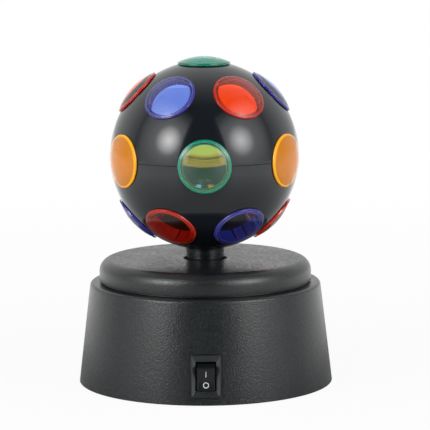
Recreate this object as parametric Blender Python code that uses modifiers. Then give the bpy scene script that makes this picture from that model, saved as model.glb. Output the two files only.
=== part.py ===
# LED disco ball light: a ball studded with coloured lenses turns on a battery-powered base.
# Metres, +Z up, the table at z = 0, the switch towards -Y.
import math

import bmesh
import bpy
from mathutils import Euler, Matrix, Vector

# Clearances
GAP = 0.0003  # between pieces that touch or are pressed together
RUNNING_GAP = 0.0003  # round anything that turns
AXIAL_PLAY = 0.0006  # how far the ball could lift before the bush stops it

# Base housing
BASE_BOTTOM_RADIUS = 0.0650
BASE_TOP_RADIUS = 0.0593
SHOULDER_HEIGHT = 0.0520
SHOULDER_ROUNDING = 0.0018
SHOULDER_WIDTH = 0.0051  # cover's side to the shoulder's edge
LEDGE_WIDTH = 0.0092  # how far the shoulder reaches in under the cover
HOUSING_WALL = 0.0022
RIM_LIFT = 0.0005  # the feet hold the rim this far off the table
CASE_BOSS_RADIUS = 0.0038
CASE_BOSS_HEIGHT = 0.0180
CASE_SCREW_COUNT = 3

# Top cover
COVER_HEIGHT = 0.0119  # shoulder to flat top
COVER_ROUNDING = 0.0061
COVER_WALL = 0.0020
GROOVE_HEIGHT = 0.0010
GROOVE_DEPTH = 0.0010
NECK_HOLE_RADIUS = 0.0112
COVER_BOSS_RADIUS = 0.0034
COVER_SCREW_COUNT = 3
BUSH_BOSS_WALL = 0.0020

# Bottom plate and feet
PLATE_RECESS = 0.0018  # rim to the plate's underside
PLATE_THICKNESS = 0.0020
FOOT_RADIUS = 0.0060
FOOT_INSET = 0.0095  # plate's edge to a foot's middle
FOOT_ROUNDING = 0.0004
FOOT_COUNT = 3

# Battery bay for AA cells lying along X
CELL_COUNT = 3
CELL_RADIUS = 0.00725
CELL_LENGTH = 0.0505
CELL_NUB_RADIUS = 0.00275
CELL_NUB_LENGTH = 0.0010
CELL_SPACING = 0.0152
SPRING_LENGTH = 0.0045
SPRING_RADIUS = 0.0040
SPRING_TIP_RADIUS = 0.0026
SPRING_WIRE_RADIUS = 0.00035
SPRING_TURNS = 3
CONTACT_WIDTH = 0.0110
CONTACT_HEIGHT = 0.0100
CONTACT_THICKNESS = 0.0006
BAY_WALL = 0.0016
BAY_HEADROOM = 0.0004
BAY_OFFSET = 0.0015  # bay's middle, towards the back
DOOR_THICKNESS = 0.0016
DOOR_EAR_WIDTH = 0.0114
DOOR_EAR_LENGTH = 0.0080
DOOR_HOOK_WIDTH = 0.0080
DOOR_HOOK_THICKNESS = 0.0012
DOOR_HOOK_REACH = 0.0030
DOOR_HOOK_SPREAD = 0.0150
LUG_HEIGHT = 0.0045

# Ball and neck
BALL_RADIUS = 0.04825
BALL_WALL = 0.0020
BALL_LIFT = 0.00465  # cover to the ball's lowest point
SEAM_LIP_HEIGHT = 0.0025
SEAM_LIP_WALL = 0.0012
COLLAR_RADIUS = 0.01005
COLLAR_HEIGHT = 0.0036
NECK_RADIUS = 0.0093
NECK_BORE_RADIUS = 0.0070
SPIGOT_RADIUS = 0.0087
SPIGOT_LENGTH = 0.0035

# Lenses
LENS_RING_TILT = math.radians(43.5)  # latitude of the two outer rings
LENS_RADIUS = 0.0134
LENS_EDGE_HEIGHT = 0.0008
LENS_RISE = 0.00305  # rim to the top of the dome
LENS_SKIRT_RADIUS = 0.0120
LENS_SKIRT_LENGTH = 0.0040
LENS_WALL = 0.0012

# Light source
POST_RADIUS = 0.0050
POST_BORE_RADIUS = 0.0036
POST_FLANGE_RADIUS = 0.0090
POST_FLANGE_THICKNESS = 0.0023
BOARD_DROP = 0.0198  # the ball's centre to the board's top
BOARD_RADIUS = 0.0110
BOARD_THICKNESS = 0.0016
LED_RADIUS = 0.0040
LED_LENGTH = 0.0095
LED_FLANGE_RADIUS = 0.0046
LED_FLANGE_THICKNESS = 0.0010

# Drive
DECK_MARGIN = 0.0036  # deck's edge beyond its screws
DECK_THICKNESS = 0.0025
GEAR_MODULE = 0.0008
BALL_GEAR_TEETH = 56
WHEEL_TEETH = 32
PINION_TEETH = 10
TOOTH_SLACK = 0.00028
CENTRE_SPREAD = 0.0001
ADDENDUM = 0.85  # in modules
DEDENDUM = 1.15
PRESSURE_ANGLE = math.radians(20)
GEAR_WIDTH = 0.0035
WHEEL_WIDTH = 0.0018
WHEEL_LIFT = 0.0007  # deck to the wheel
HUB_RADIUS = 0.0120
HUB_LENGTH = 0.0021
WASHER_THICKNESS = 0.0005
BUSH_SLEEVE_RADIUS = 0.0109
BUSH_FLANGE_THICKNESS = 0.0011
IDLER_BEARING = math.radians(100)
IDLER_AXLE_RADIUS = 0.00125
IDLER_BOSS_RADIUS = 0.0030
IDLER_BOSS_LENGTH = 0.0030
AXLE_HEAD_RADIUS = 0.0026
AXLE_HEAD_HEIGHT = 0.0008
MOTOR_BEARING = math.radians(20)  # seen from the idler
OUTPUT_SHAFT_RADIUS = 0.0015
OUTPUT_SHAFT_SEAT = 0.0050
MOTOR_WIDTH = 0.0120
MOTOR_DEPTH = 0.0100
GEARHEAD_LENGTH = 0.0093
MOTOR_LENGTH = 0.0150
SLEEVE_WALL = 0.0014
SLEEVE_DEPTH = 0.0080

# Screws
SCREW_RADIUS = 0.0013
SCREW_HEAD_RADIUS = 0.0026
SCREW_HEAD_HEIGHT = 0.0015
SCREW_TIP = 0.0008
CASE_SCREW_LENGTH = 0.0100
COVER_SCREW_LENGTH = 0.0120

# Rocker switch, a standard 21 x 15 mm snap-in size
BEZEL_WIDTH = 0.0150
BEZEL_LENGTH = 0.0210
BEZEL_THICKNESS = 0.0017
BEZEL_ROUNDING = 0.0005
SWITCH_BODY_WIDTH = 0.0126
SWITCH_BODY_LENGTH = 0.0186
SWITCH_BODY_DEPTH = 0.0110
SWITCH_CLEARANCE = 0.0003  # bottom plate to the switch's body
ROCKER_WIDTH = 0.0094
ROCKER_LENGTH = 0.0112
ROCKER_TIP_HEIGHT = 0.0021  # tips above the bezel's face at mid travel
ROCKER_DIP = 0.0012  # how far the middle lies below the tips
ROCKER_DEPTH = 0.0045  # pivot below the bezel's face
ROCKER_HEEL = 0.0026  # underside below the pivot
ROCKER_TRAVEL = math.radians(12)  # each way from the middle
ROCKER_PIN_RADIUS = 0.0009
ROCKER_PIN_LENGTH = 0.0006
ROCKER_SIDE_GAP = 0.0003
ROCKER_END_GAP = 0.0003
SWITCH_CAVITY_DEPTH = 0.0085
TERMINAL_WIDTH = 0.0048
TERMINAL_THICKNESS = 0.0008
TERMINAL_LENGTH = 0.0070
TERMINAL_SPREAD = 0.0045

# Lead to the LED
WIRE_RADIUS = 0.0011

# Smoothness of round pieces
BASE_STEPS = 48
BALL_STEPS = 36
BALL_ARC_STEPS = 9
LENS_STEPS = 16
SMALL_STEPS = 20
SCREW_STEPS = 10
PIN_STEPS = 12
MERGE = 0.00001

# Heights and places worked out from the sizes above
SLOPE = math.atan((BASE_BOTTOM_RADIUS - BASE_TOP_RADIUS) / (SHOULDER_HEIGHT - RIM_LIFT))
COVER_RADIUS = BASE_TOP_RADIUS - SHOULDER_WIDTH
SHOULDER_HOLE_RADIUS = COVER_RADIUS - LEDGE_WIDTH
COVER_TOP = SHOULDER_HEIGHT + COVER_HEIGHT
CEILING = COVER_TOP - COVER_WALL
DECK_TOP = SHOULDER_HEIGHT - HOUSING_WALL - GAP
DECK_UNDERSIDE = DECK_TOP - DECK_THICKNESS
BALL_CENTRE = COVER_TOP + BALL_LIFT + BALL_RADIUS
WASHER_BOTTOM = DECK_TOP + GAP
HUB_BOTTOM = WASHER_BOTTOM + WASHER_THICKNESS + GAP
GEAR_BOTTOM = HUB_BOTTOM + HUB_LENGTH
GEAR_TOP = GEAR_BOTTOM + GEAR_WIDTH
BUSH_BOTTOM = GEAR_TOP + AXIAL_PLAY
BUSH_BOSS_BOTTOM = BUSH_BOTTOM + BUSH_FLANGE_THICKNESS + GAP
WHEEL_BOTTOM = DECK_TOP + WHEEL_LIFT
WHEEL_TOP = WHEEL_BOTTOM + WHEEL_WIDTH
PLATE_UNDERSIDE = RIM_LIFT + PLATE_RECESS
PLATE_TOP = PLATE_UNDERSIDE + PLATE_THICKNESS
FOOT_HEIGHT = PLATE_UNDERSIDE - GAP
DOOR_TOP = PLATE_UNDERSIDE + DOOR_THICKNESS
CELL_AXIS = DOOR_TOP + GAP + CELL_RADIUS
BAY_CEILING = CELL_AXIS + CELL_RADIUS + BAY_HEADROOM
BAY_HALF_X = (CELL_LENGTH + SPRING_LENGTH + 2 * CONTACT_THICKNESS + 5 * GAP) / 2
BAY_HALF_Y = ((CELL_COUNT - 1) * CELL_SPACING) / 2 + CELL_RADIUS + BAY_HEADROOM
GEARHEAD_TOP = DECK_UNDERSIDE - GAP
GEARHEAD_BOTTOM = GEARHEAD_TOP - GEARHEAD_LENGTH
CELL_START = -(BAY_HALF_X - GAP - CONTACT_THICKNESS)  # face of the contact behind the cell's spring
IDLER_DISTANCE = GEAR_MODULE * (BALL_GEAR_TEETH + PINION_TEETH) / 2 + CENTRE_SPREAD
MOTOR_DISTANCE = GEAR_MODULE * (WHEEL_TEETH + PINION_TEETH) / 2 + CENTRE_SPREAD
COVER_INNER_RADIUS = COVER_RADIUS - GROOVE_DEPTH - COVER_WALL
COVER_BOSS_CIRCLE = COVER_INNER_RADIUS - COVER_BOSS_RADIUS + 2 * GAP
PILOT_RADIUS = SCREW_RADIUS + GAP


def polar(radius, bearing):
    return Vector((radius * math.cos(bearing), radius * math.sin(bearing), 0.0))


IDLER_PLACE = polar(IDLER_DISTANCE, IDLER_BEARING)
MOTOR_PLACE = IDLER_PLACE + polar(MOTOR_DISTANCE, MOTOR_BEARING)


def ring_places(radius, count, first_bearing):
    return [polar(radius, math.radians(first_bearing) + 2 * math.pi * k / count) for k in range(count)]


COVER_BOSS_PLACES = ring_places(COVER_BOSS_CIRCLE, COVER_SCREW_COUNT, 90)
DECK_RADIUS = COVER_BOSS_CIRCLE + DECK_MARGIN


def housing_radius(height):
    share = (height - RIM_LIFT) / (SHOULDER_HEIGHT - RIM_LIFT)
    return BASE_BOTTOM_RADIUS + share * (BASE_TOP_RADIUS - BASE_BOTTOM_RADIUS)


def narrowest_radius(low, high):
    return min(housing_radius(low), housing_radius(high))


WALL_ACROSS = HOUSING_WALL / math.cos(SLOPE)
PLATE_RADIUS = narrowest_radius(RIM_LIFT, PLATE_TOP) - WALL_ACROSS - GAP
FOOT_PLACES = ring_places(PLATE_RADIUS - FOOT_INSET, FOOT_COUNT, -90)
CASE_BOSS_BOTTOM = PLATE_TOP + GAP
CASE_BOSS_TOP = CASE_BOSS_BOTTOM + CASE_BOSS_HEIGHT
BOSS_ON_WALL = narrowest_radius(CASE_BOSS_BOTTOM, CASE_BOSS_TOP) - HOUSING_WALL / 4 - CASE_BOSS_RADIUS
CASE_BOSS_CIRCLE = min(BOSS_ON_WALL, PLATE_RADIUS - SCREW_HEAD_RADIUS - GAP)
CASE_BOSS_PLACES = ring_places(CASE_BOSS_CIRCLE, CASE_SCREW_COUNT, 90)
SWITCH_HALF_DROP = SWITCH_BODY_LENGTH / 2 * math.cos(SLOPE) + SWITCH_BODY_DEPTH * abs(math.sin(SLOPE))
SWITCH_HEIGHT = PLATE_TOP + SWITCH_CLEARANCE + SWITCH_HALF_DROP
DOOR_SCREW_PLACE = Vector((0.0, BAY_OFFSET - BAY_HALF_Y - BAY_WALL - DOOR_EAR_LENGTH / 2, 0.0))


# Scene, materials and collections
for old in list(bpy.data.objects):
    bpy.data.objects.remove(old, do_unlink=True)

light = bpy.data.collections.new("disco_ball_light")
tools = bpy.data.collections.new("cutters")
bpy.context.scene.collection.children.link(light)
bpy.context.scene.collection.children.link(tools)


def finish(name, color, roughness, metallic=0.0, transmission=0.0):
    material = bpy.data.materials.new(name)
    material.use_nodes = True
    shader = material.node_tree.nodes["Principled BSDF"]
    shader.inputs["Base Color"].default_value = (*color, 1.0)
    shader.inputs["Roughness"].default_value = roughness
    shader.inputs["Metallic"].default_value = metallic
    shader.inputs["Transmission Weight"].default_value = transmission
    material.diffuse_color = (*color, 1.0)
    return material


SATIN_BLACK = finish("satin_black_plastic", (0.022, 0.022, 0.023), 0.42)
GLOSS_BLACK = finish("gloss_black_plastic", (0.010, 0.011, 0.013), 0.14)
SWITCH_BLACK = finish("switch_black_plastic", (0.018, 0.018, 0.019), 0.35)
INNER_BLACK = finish("inner_black_plastic", (0.030, 0.030, 0.032), 0.55)
GEAR_WHITE = finish("gear_white_plastic", (0.78, 0.77, 0.72), 0.40)
STEEL = finish("bright_steel", (0.60, 0.60, 0.61), 0.28, metallic=1.0)
BRASS = finish("contact_brass", (0.72, 0.55, 0.27), 0.30, metallic=1.0)
RUBBER = finish("foot_rubber", (0.035, 0.035, 0.036), 0.85)
BOARD_GREEN = finish("circuit_board", (0.035, 0.16, 0.07), 0.45)
CELL_WRAP = finish("cell_wrap", (0.09, 0.20, 0.42), 0.35)
WIRE_RED = finish("wire_sleeve", (0.55, 0.03, 0.02), 0.45)
LED_CLEAR = finish("led_resin", (0.90, 0.92, 0.92), 0.10, transmission=0.8)
LENS_COLORS = {
    "green": finish("lens_green", (0.07, 0.55, 0.33), 0.06, transmission=0.9),
    "amber": finish("lens_amber", (0.95, 0.33, 0.03), 0.06, transmission=0.9),
    "blue": finish("lens_blue", (0.06, 0.10, 0.78), 0.06, transmission=0.9),
    "red": finish("lens_red", (0.85, 0.07, 0.03), 0.06, transmission=0.9),
}


# Shape helpers
def place(obj, collection, parent=None):
    collection.objects.link(obj)
    obj.parent = parent
    return obj


def part(name, mesh, material, parent=None):
    mesh.materials.clear()
    mesh.materials.append(material)
    return place(bpy.data.objects.new(name, mesh), light, parent)


def tool(name, mesh, parent=None):
    obj = place(bpy.data.objects.new(name, mesh), tools, parent)
    obj.hide_render = True
    obj.display_type = "WIRE"
    return obj


def anchor(name, location, rotation=(0.0, 0.0, 0.0), parent=None):
    obj = place(bpy.data.objects.new(name, None), light, parent)
    obj.location = location
    obj.rotation_euler = rotation
    return obj


def evaluated_mesh(obj):
    bpy.context.view_layer.update()
    graph = bpy.context.evaluated_depsgraph_get()
    return bpy.data.meshes.new_from_object(obj.evaluated_get(graph), depsgraph=graph)


def sharp_smooth(mesh):
    mesh.shade_smooth()
    mesh.set_sharp_from_angle(angle=math.radians(35))
    return mesh


def turned(name, outline, steps, ring=False):
    """Mesh of an (r, z) outline turned about Z: its outer side runs from top to bottom."""
    mesh = bpy.data.meshes.new(name)
    edges = [(k, k + 1) for k in range(len(outline) - 1)]
    if ring:
        edges.append((len(outline) - 1, 0))
    mesh.from_pydata([(r, 0.0, z) for r, z in outline], edges, [])
    obj = place(bpy.data.objects.new(name + "_outline", mesh), tools)
    screw = obj.modifiers.new("turn", "SCREW")
    screw.axis = "Z"
    screw.steps = steps
    screw.render_steps = steps
    screw.use_merge_vertices = True
    screw.merge_threshold = MERGE
    solid = evaluated_mesh(obj)
    solid.name = name
    bpy.data.objects.remove(obj, do_unlink=True)
    return sharp_smooth(solid)


def arc(centre, radius, start, end, steps):
    """Points of an arc in (r, z); angles in degrees from +r towards +z."""
    points = []
    for k in range(steps + 1):
        angle = math.radians(start + (end - start) * k / steps)
        points.append((centre[0] + radius * math.cos(angle), centre[1] + radius * math.sin(angle)))
    return points


def circle(radius, steps, centre=(0.0, 0.0)):
    points = []
    for k in range(steps):
        spot = polar(radius, 2 * math.pi * k / steps)
        points.append((centre[0] + spot.x, centre[1] + spot.y))
    return points


def rectangle(half_x, half_y, centre=(0.0, 0.0)):
    x, y = centre
    return [
        (x - half_x, y - half_y),
        (x + half_x, y - half_y),
        (x + half_x, y + half_y),
        (x - half_x, y + half_y),
    ]


def slab(name, loops, bottom, top):
    """Mesh of a flat outline, with holes, between two heights."""
    curve = bpy.data.curves.new(name, "CURVE")
    curve.dimensions = "2D"
    curve.fill_mode = "BOTH"
    curve.extrude = (top - bottom) / 2
    for loop in loops:
        spline = curve.splines.new("POLY")
        spline.points.add(len(loop) - 1)
        for point, (x, y) in zip(spline.points, loop):
            point.co = (x, y, 0.0, 1.0)
        spline.use_cyclic_u = True
    obj = place(bpy.data.objects.new(name, curve), tools)
    solid = evaluated_mesh(obj)
    bpy.data.objects.remove(obj, do_unlink=True)
    work = bmesh.new()
    work.from_mesh(solid)
    bmesh.ops.remove_doubles(work, verts=work.verts, dist=MERGE)
    bmesh.ops.recalc_face_normals(work, faces=work.faces)
    bmesh.ops.translate(work, verts=work.verts, vec=(0.0, 0.0, (top + bottom) / 2))
    work.to_mesh(solid)
    work.free()
    return sharp_smooth(solid)


def boxes(name, spans):
    """Mesh of separate boxes, each given by its lowest and highest corners."""
    work = bmesh.new()
    for low, high in spans:
        low, high = Vector(low), Vector(high)
        size = high - low
        matrix = Matrix.Translation((low + high) / 2) @ Matrix.Diagonal((*size, 1.0))
        bmesh.ops.create_cube(work, size=1.0, matrix=matrix)
    mesh = bpy.data.meshes.new(name)
    work.to_mesh(mesh)
    work.free()
    return mesh


def posts(name, places, radius, bottom, top, steps=SMALL_STEPS):
    """Mesh of separate upright cylinders."""
    work = bmesh.new()
    for spot in places:
        matrix = Matrix.Translation((spot[0], spot[1], (bottom + top) / 2))
        bmesh.ops.create_cone(
            work,
            cap_ends=True,
            segments=steps,
            radius1=radius,
            radius2=radius,
            depth=top - bottom,
            matrix=matrix,
        )
    mesh = bpy.data.meshes.new(name)
    work.to_mesh(mesh)
    work.free()
    return sharp_smooth(mesh)


def copies(name, source, matrices):
    """Mesh that holds a copy of the source mesh for each matrix, as separate solids."""
    work = bmesh.new()
    for matrix in matrices:
        piece = source.copy()
        piece.transform(matrix)
        work.from_mesh(piece)
        bpy.data.meshes.remove(piece)
    mesh = bpy.data.meshes.new(name)
    work.to_mesh(mesh)
    work.free()
    return sharp_smooth(mesh)


def rounded(obj, width, segments=2):
    bevel = obj.modifiers.new("rounded edges", "BEVEL")
    bevel.width = width
    bevel.segments = segments
    bevel.limit_method = "ANGLE"
    bevel.angle_limit = math.radians(40)


def combine(obj, operation, mesh_name, mesh, parent=None):
    boolean = obj.modifiers.new(mesh_name, "BOOLEAN")
    boolean.operation = operation
    boolean.solver = "EXACT"
    boolean.object = tool(mesh_name, mesh, parent)


def add(obj, name, mesh, parent=None):
    combine(obj, "UNION", name, mesh, parent)


def cut(obj, name, mesh, parent=None):
    combine(obj, "DIFFERENCE", name, mesh, parent)


def wire_mesh(name, points, radius, sides_level=1):
    """Mesh of a round wire through the points."""
    curve = bpy.data.curves.new(name, "CURVE")
    curve.dimensions = "3D"
    curve.bevel_depth = radius
    curve.bevel_resolution = sides_level
    curve.use_fill_caps = True
    spline = curve.splines.new("POLY")
    spline.points.add(len(points) - 1)
    for point, spot in zip(spline.points, points):
        point.co = (*spot, 1.0)
    obj = place(bpy.data.objects.new(name, curve), tools)
    solid = evaluated_mesh(obj)
    bpy.data.objects.remove(obj, do_unlink=True)
    work = bmesh.new()
    work.from_mesh(solid)
    bmesh.ops.remove_doubles(work, verts=work.verts, dist=MERGE)
    bmesh.ops.recalc_face_normals(work, faces=work.faces)
    work.to_mesh(solid)
    work.free()
    return sharp_smooth(solid)


def smooth_route(spots, count):
    """Points along a smooth curve through the spots."""
    spots = [Vector(s) for s in spots]
    padded = [2 * spots[0] - spots[1]] + spots + [2 * spots[-1] - spots[-2]]
    points = []
    spans = len(spots) - 1
    for k in range(count + 1):
        place_on = min(k * spans / count, spans - 1e-9)
        i = int(place_on)
        t = place_on - i
        a, b, c, d = padded[i : i + 4]
        square = (2 * a - 5 * b + 4 * c - d) * t * t
        cube = (3 * b - 3 * c + d - a) * t**3
        points.append(0.5 * (2 * b + (c - a) * t + square + cube))
    return points


def gear_outline(teeth, phase, rings):
    """Involute-like teeth with straight facets; a tooth is centred on the phase angle."""
    pitch = GEAR_MODULE * teeth / 2
    base = pitch * math.cos(PRESSURE_ANGLE)
    tip = pitch + ADDENDUM * GEAR_MODULE
    root = pitch - DEDENDUM * GEAR_MODULE

    def involute(radius):
        if radius <= base:
            return 0.0
        angle = math.acos(base / radius)
        return math.tan(angle) - angle

    def half_tooth(radius):
        at_pitch = (math.pi * GEAR_MODULE / 2 - TOOTH_SLACK) / (2 * pitch)
        return at_pitch + involute(pitch) - involute(radius)

    radii = [root + (tip - root) * k / rings for k in range(rings + 1)]
    points = []
    for tooth in range(teeth):
        middle = phase + 2 * math.pi * tooth / teeth
        flank = [(r, middle - half_tooth(r)) for r in radii]
        flank += [(r, middle + half_tooth(r)) for r in reversed(radii)]
        points += [tuple(polar(r, angle).xy) for r, angle in flank]
    return points


def meshing_phase(bearing, teeth, phase, mate_teeth):
    """Phase of a mate whose tooth fills this gear's gap along the bearing."""
    steps = (bearing - phase) * teeth / (2 * math.pi)
    return bearing + math.pi - (0.5 - steps) * 2 * math.pi / mate_teeth


# Fasteners
def screw_mesh(length):
    """A screw that points up, its head's bearing face at z = 0."""
    outline = [
        (0.0, length),
        (SCREW_RADIUS - SCREW_TIP / 2, length),
        (SCREW_RADIUS, length - SCREW_TIP),
        (SCREW_RADIUS, 0.0),
        (SCREW_HEAD_RADIUS, 0.0),
        (SCREW_HEAD_RADIUS, -SCREW_HEAD_HEIGHT * 0.6),
        (SCREW_HEAD_RADIUS * 0.7, -SCREW_HEAD_HEIGHT),
        (0.0, -SCREW_HEAD_HEIGHT),
    ]
    return turned("screw", outline, SCREW_STEPS)


def screw_holes(name, places, bottom, top):
    return posts(name, places, PILOT_RADIUS, bottom, top, SCREW_STEPS)


def screws(name, places, bearing_height, length):
    mesh = screw_mesh(length)
    for k, spot in enumerate(places):
        number = f"_{k + 1}" if len(places) > 1 else ""
        screw = part(name + number, mesh, STEEL)
        screw.location = (spot.x, spot.y, bearing_height)


# Base
def make_housing(switch_seat):
    edge = BASE_TOP_RADIUS - SHOULDER_ROUNDING * math.tan(SLOPE) - SHOULDER_ROUNDING
    round_centre = (edge, SHOULDER_HEIGHT - SHOULDER_ROUNDING)
    round_end = math.degrees(SLOPE)
    ledge = SHOULDER_HEIGHT - HOUSING_WALL
    outline = [(SHOULDER_HOLE_RADIUS, SHOULDER_HEIGHT)]
    outline += arc(round_centre, SHOULDER_ROUNDING, 90, round_end, 3)
    outline += [
        (BASE_BOTTOM_RADIUS, RIM_LIFT),
        (BASE_BOTTOM_RADIUS - WALL_ACROSS, RIM_LIFT),
        (housing_radius(ledge) - WALL_ACROSS, ledge),
        (SHOULDER_HOLE_RADIUS, ledge),
    ]
    housing = part("base_housing", turned("base_housing", outline, BASE_STEPS, ring=True), SATIN_BLACK)
    bosses = posts("case_bosses", CASE_BOSS_PLACES, CASE_BOSS_RADIUS, CASE_BOSS_BOTTOM, CASE_BOSS_TOP)
    add(housing, "case_bosses", bosses)
    pilot_low = CASE_BOSS_BOTTOM - GAP
    pilot_top = PLATE_UNDERSIDE + CASE_SCREW_LENGTH + GAP
    pilots = screw_holes("case_pilots", CASE_BOSS_PLACES, pilot_low, pilot_top)
    cut(housing, "case_pilots", pilots)
    through = screw_holes("cover_screw_holes", COVER_BOSS_PLACES, ledge - GAP, SHOULDER_HEIGHT + GAP)
    cut(housing, "cover_screw_holes", through)
    half_x = BEZEL_WIDTH / 2 + GAP
    half_z = BEZEL_LENGTH / 2 + GAP
    low = (-half_x, -BEZEL_THICKNESS, -half_z)
    seat = boxes("switch_recess", [(low, (half_x, SEAT_DEPTH, half_z))])
    cut(housing, "switch_recess", seat, switch_seat)
    half_x = SWITCH_BODY_WIDTH / 2 + GAP
    half_z = SWITCH_BODY_LENGTH / 2 + GAP
    low = (-half_x, -BEZEL_THICKNESS, -half_z)
    window = boxes("switch_window", [(low, (half_x, 3 * HOUSING_WALL, half_z))])
    cut(housing, "switch_window", window, switch_seat)


def make_cover():
    inner_rounding = COVER_ROUNDING - COVER_WALL + GROOVE_DEPTH
    lower_edge = SHOULDER_HEIGHT + GAP
    round_centre = (COVER_RADIUS - COVER_ROUNDING, COVER_TOP - COVER_ROUNDING)
    inner_centre = (COVER_INNER_RADIUS - inner_rounding, CEILING - inner_rounding)
    boss_radius = NECK_HOLE_RADIUS + BUSH_BOSS_WALL
    outline = [(NECK_HOLE_RADIUS, COVER_TOP)]
    outline += arc(round_centre, COVER_ROUNDING, 90, 0, 4)
    outline += [
        (COVER_RADIUS, SHOULDER_HEIGHT + GROOVE_HEIGHT),
        (COVER_RADIUS - GROOVE_DEPTH, SHOULDER_HEIGHT + GROOVE_HEIGHT),
        (COVER_RADIUS - GROOVE_DEPTH, lower_edge),
        (COVER_INNER_RADIUS, lower_edge),
    ]
    outline += arc(inner_centre, inner_rounding, 0, 90, 2)
    outline += [
        (boss_radius, CEILING),
        (boss_radius, BUSH_BOSS_BOTTOM),
        (NECK_HOLE_RADIUS, BUSH_BOSS_BOTTOM),
    ]
    cover = part("top_cover", turned("top_cover", outline, BASE_STEPS, ring=True), SATIN_BLACK)
    root = CEILING + COVER_WALL / 4
    bosses = posts("cover_bosses", COVER_BOSS_PLACES, COVER_BOSS_RADIUS, lower_edge, root)
    add(cover, "cover_bosses", bosses)
    pilot_top = DECK_UNDERSIDE + COVER_SCREW_LENGTH
    pilots = screw_holes("cover_pilots", COVER_BOSS_PLACES, lower_edge - GAP, pilot_top)
    cut(cover, "cover_pilots", pilots)


def make_bottom_plate():
    disc = slab("bottom_plate", [circle(PLATE_RADIUS, BASE_STEPS)], PLATE_UNDERSIDE, PLATE_TOP)
    plate = part("bottom_plate", disc, INNER_BLACK)
    holes = screw_holes("case_screw_holes", CASE_BOSS_PLACES, PLATE_UNDERSIDE - GAP, PLATE_TOP + GAP)
    cut(plate, "case_screw_holes", holes)
    half_x = BAY_HALF_X + BAY_WALL
    half_y = BAY_HALF_Y + BAY_WALL
    middle = PLATE_UNDERSIDE + PLATE_THICKNESS / 2
    shell_low = (-half_x, BAY_OFFSET - half_y, middle)
    shell_high = (half_x, BAY_OFFSET + half_y, BAY_CEILING + BAY_WALL)
    add(plate, "bay_shell", boxes("bay_shell", [(shell_low, shell_high)]))
    lug_half = DOOR_EAR_WIDTH / 2 + BAY_WALL
    lug_front = DOOR_SCREW_PLACE.y - DOOR_EAR_LENGTH / 2 - BAY_WALL
    lug_back = BAY_OFFSET - BAY_HALF_Y - BAY_WALL / 2
    lug_top = PLATE_TOP + LUG_HEIGHT
    lug = boxes("door_lug", [((-lug_half, lug_front, middle), (lug_half, lug_back, lug_top))])
    add(plate, "door_lug", lug)
    hollow_low = (-BAY_HALF_X, BAY_OFFSET - BAY_HALF_Y, PLATE_UNDERSIDE - PLATE_THICKNESS)
    hollow = boxes("bay_hollow", [(hollow_low, (BAY_HALF_X, BAY_OFFSET + BAY_HALF_Y, BAY_CEILING))])
    cut(plate, "bay_hollow", hollow)
    ear_half = DOOR_EAR_WIDTH / 2 + GAP
    ear_front = DOOR_SCREW_PLACE.y - DOOR_EAR_LENGTH / 2 - GAP
    ear_low = (-ear_half, ear_front, PLATE_UNDERSIDE - PLATE_THICKNESS)
    ear_high = (ear_half, BAY_OFFSET - BAY_HALF_Y + GAP, DOOR_TOP + GAP)
    cut(plate, "ear_pocket", boxes("ear_pocket", [(ear_low, ear_high)]))
    screw_top = PLATE_UNDERSIDE + CASE_SCREW_LENGTH + GAP
    cut(plate, "door_pilot", screw_holes("door_pilot", [DOOR_SCREW_PLACE], PLATE_UNDERSIDE, screw_top))
    slots = []
    for side in (-1, 1):
        x = side * DOOR_HOOK_SPREAD
        half = DOOR_HOOK_WIDTH / 2 + GAP
        back = BAY_OFFSET + half_y + GAP
        top = PLATE_TOP + DOOR_HOOK_THICKNESS + 3 * GAP
        slots.append(((x - half, BAY_OFFSET + BAY_HALF_Y - GAP, PLATE_TOP - GAP), (x + half, back, top)))
    cut(plate, "hook_slots", boxes("hook_slots", slots))


def make_door():
    half_x = BAY_HALF_X - GAP
    half_y = BAY_HALF_Y - GAP
    low = (-half_x, BAY_OFFSET - half_y, PLATE_UNDERSIDE)
    panel = boxes("battery_door", [(low, (half_x, BAY_OFFSET + half_y, DOOR_TOP))])
    door = part("battery_door", panel, INNER_BLACK)
    ear_low = (-DOOR_EAR_WIDTH / 2, DOOR_SCREW_PLACE.y - DOOR_EAR_LENGTH / 2, PLATE_UNDERSIDE)
    ear_high = (DOOR_EAR_WIDTH / 2, BAY_OFFSET - half_y + DOOR_THICKNESS, DOOR_TOP)
    add(door, "door_ear", boxes("door_ear", [(ear_low, ear_high)]))
    risers = []
    tongues = []
    tongue_low = PLATE_TOP + GAP
    tongue_high = tongue_low + DOOR_HOOK_THICKNESS
    riser_low = DOOR_TOP - DOOR_THICKNESS / 2
    edge = BAY_OFFSET + half_y
    for side in (-1, 1):
        left = side * DOOR_HOOK_SPREAD - DOOR_HOOK_WIDTH / 2
        right = left + DOOR_HOOK_WIDTH
        risers.append(((left, edge - DOOR_HOOK_THICKNESS, riser_low), (right, edge, tongue_high)))
        middle = edge - DOOR_HOOK_THICKNESS / 2
        tongues.append(((left, middle, tongue_low), (right, edge + DOOR_HOOK_REACH, tongue_high)))
    add(door, "hook_risers", boxes("hook_risers", risers))
    add(door, "hook_tongues", boxes("hook_tongues", tongues))
    hole = screw_holes("door_hole", [DOOR_SCREW_PLACE], PLATE_UNDERSIDE - GAP, DOOR_TOP + GAP)
    cut(door, "door_hole", hole)


def make_feet():
    outline = [
        (0.0, FOOT_HEIGHT),
        (FOOT_RADIUS, FOOT_HEIGHT),
        (FOOT_RADIUS, FOOT_ROUNDING),
        (FOOT_RADIUS - FOOT_ROUNDING, 0.0),
        (0.0, 0.0),
    ]
    mesh = turned("foot", outline, SMALL_STEPS)
    for k, spot in enumerate(FOOT_PLACES):
        part(f"foot_{k + 1}", mesh, RUBBER).location = spot


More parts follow.
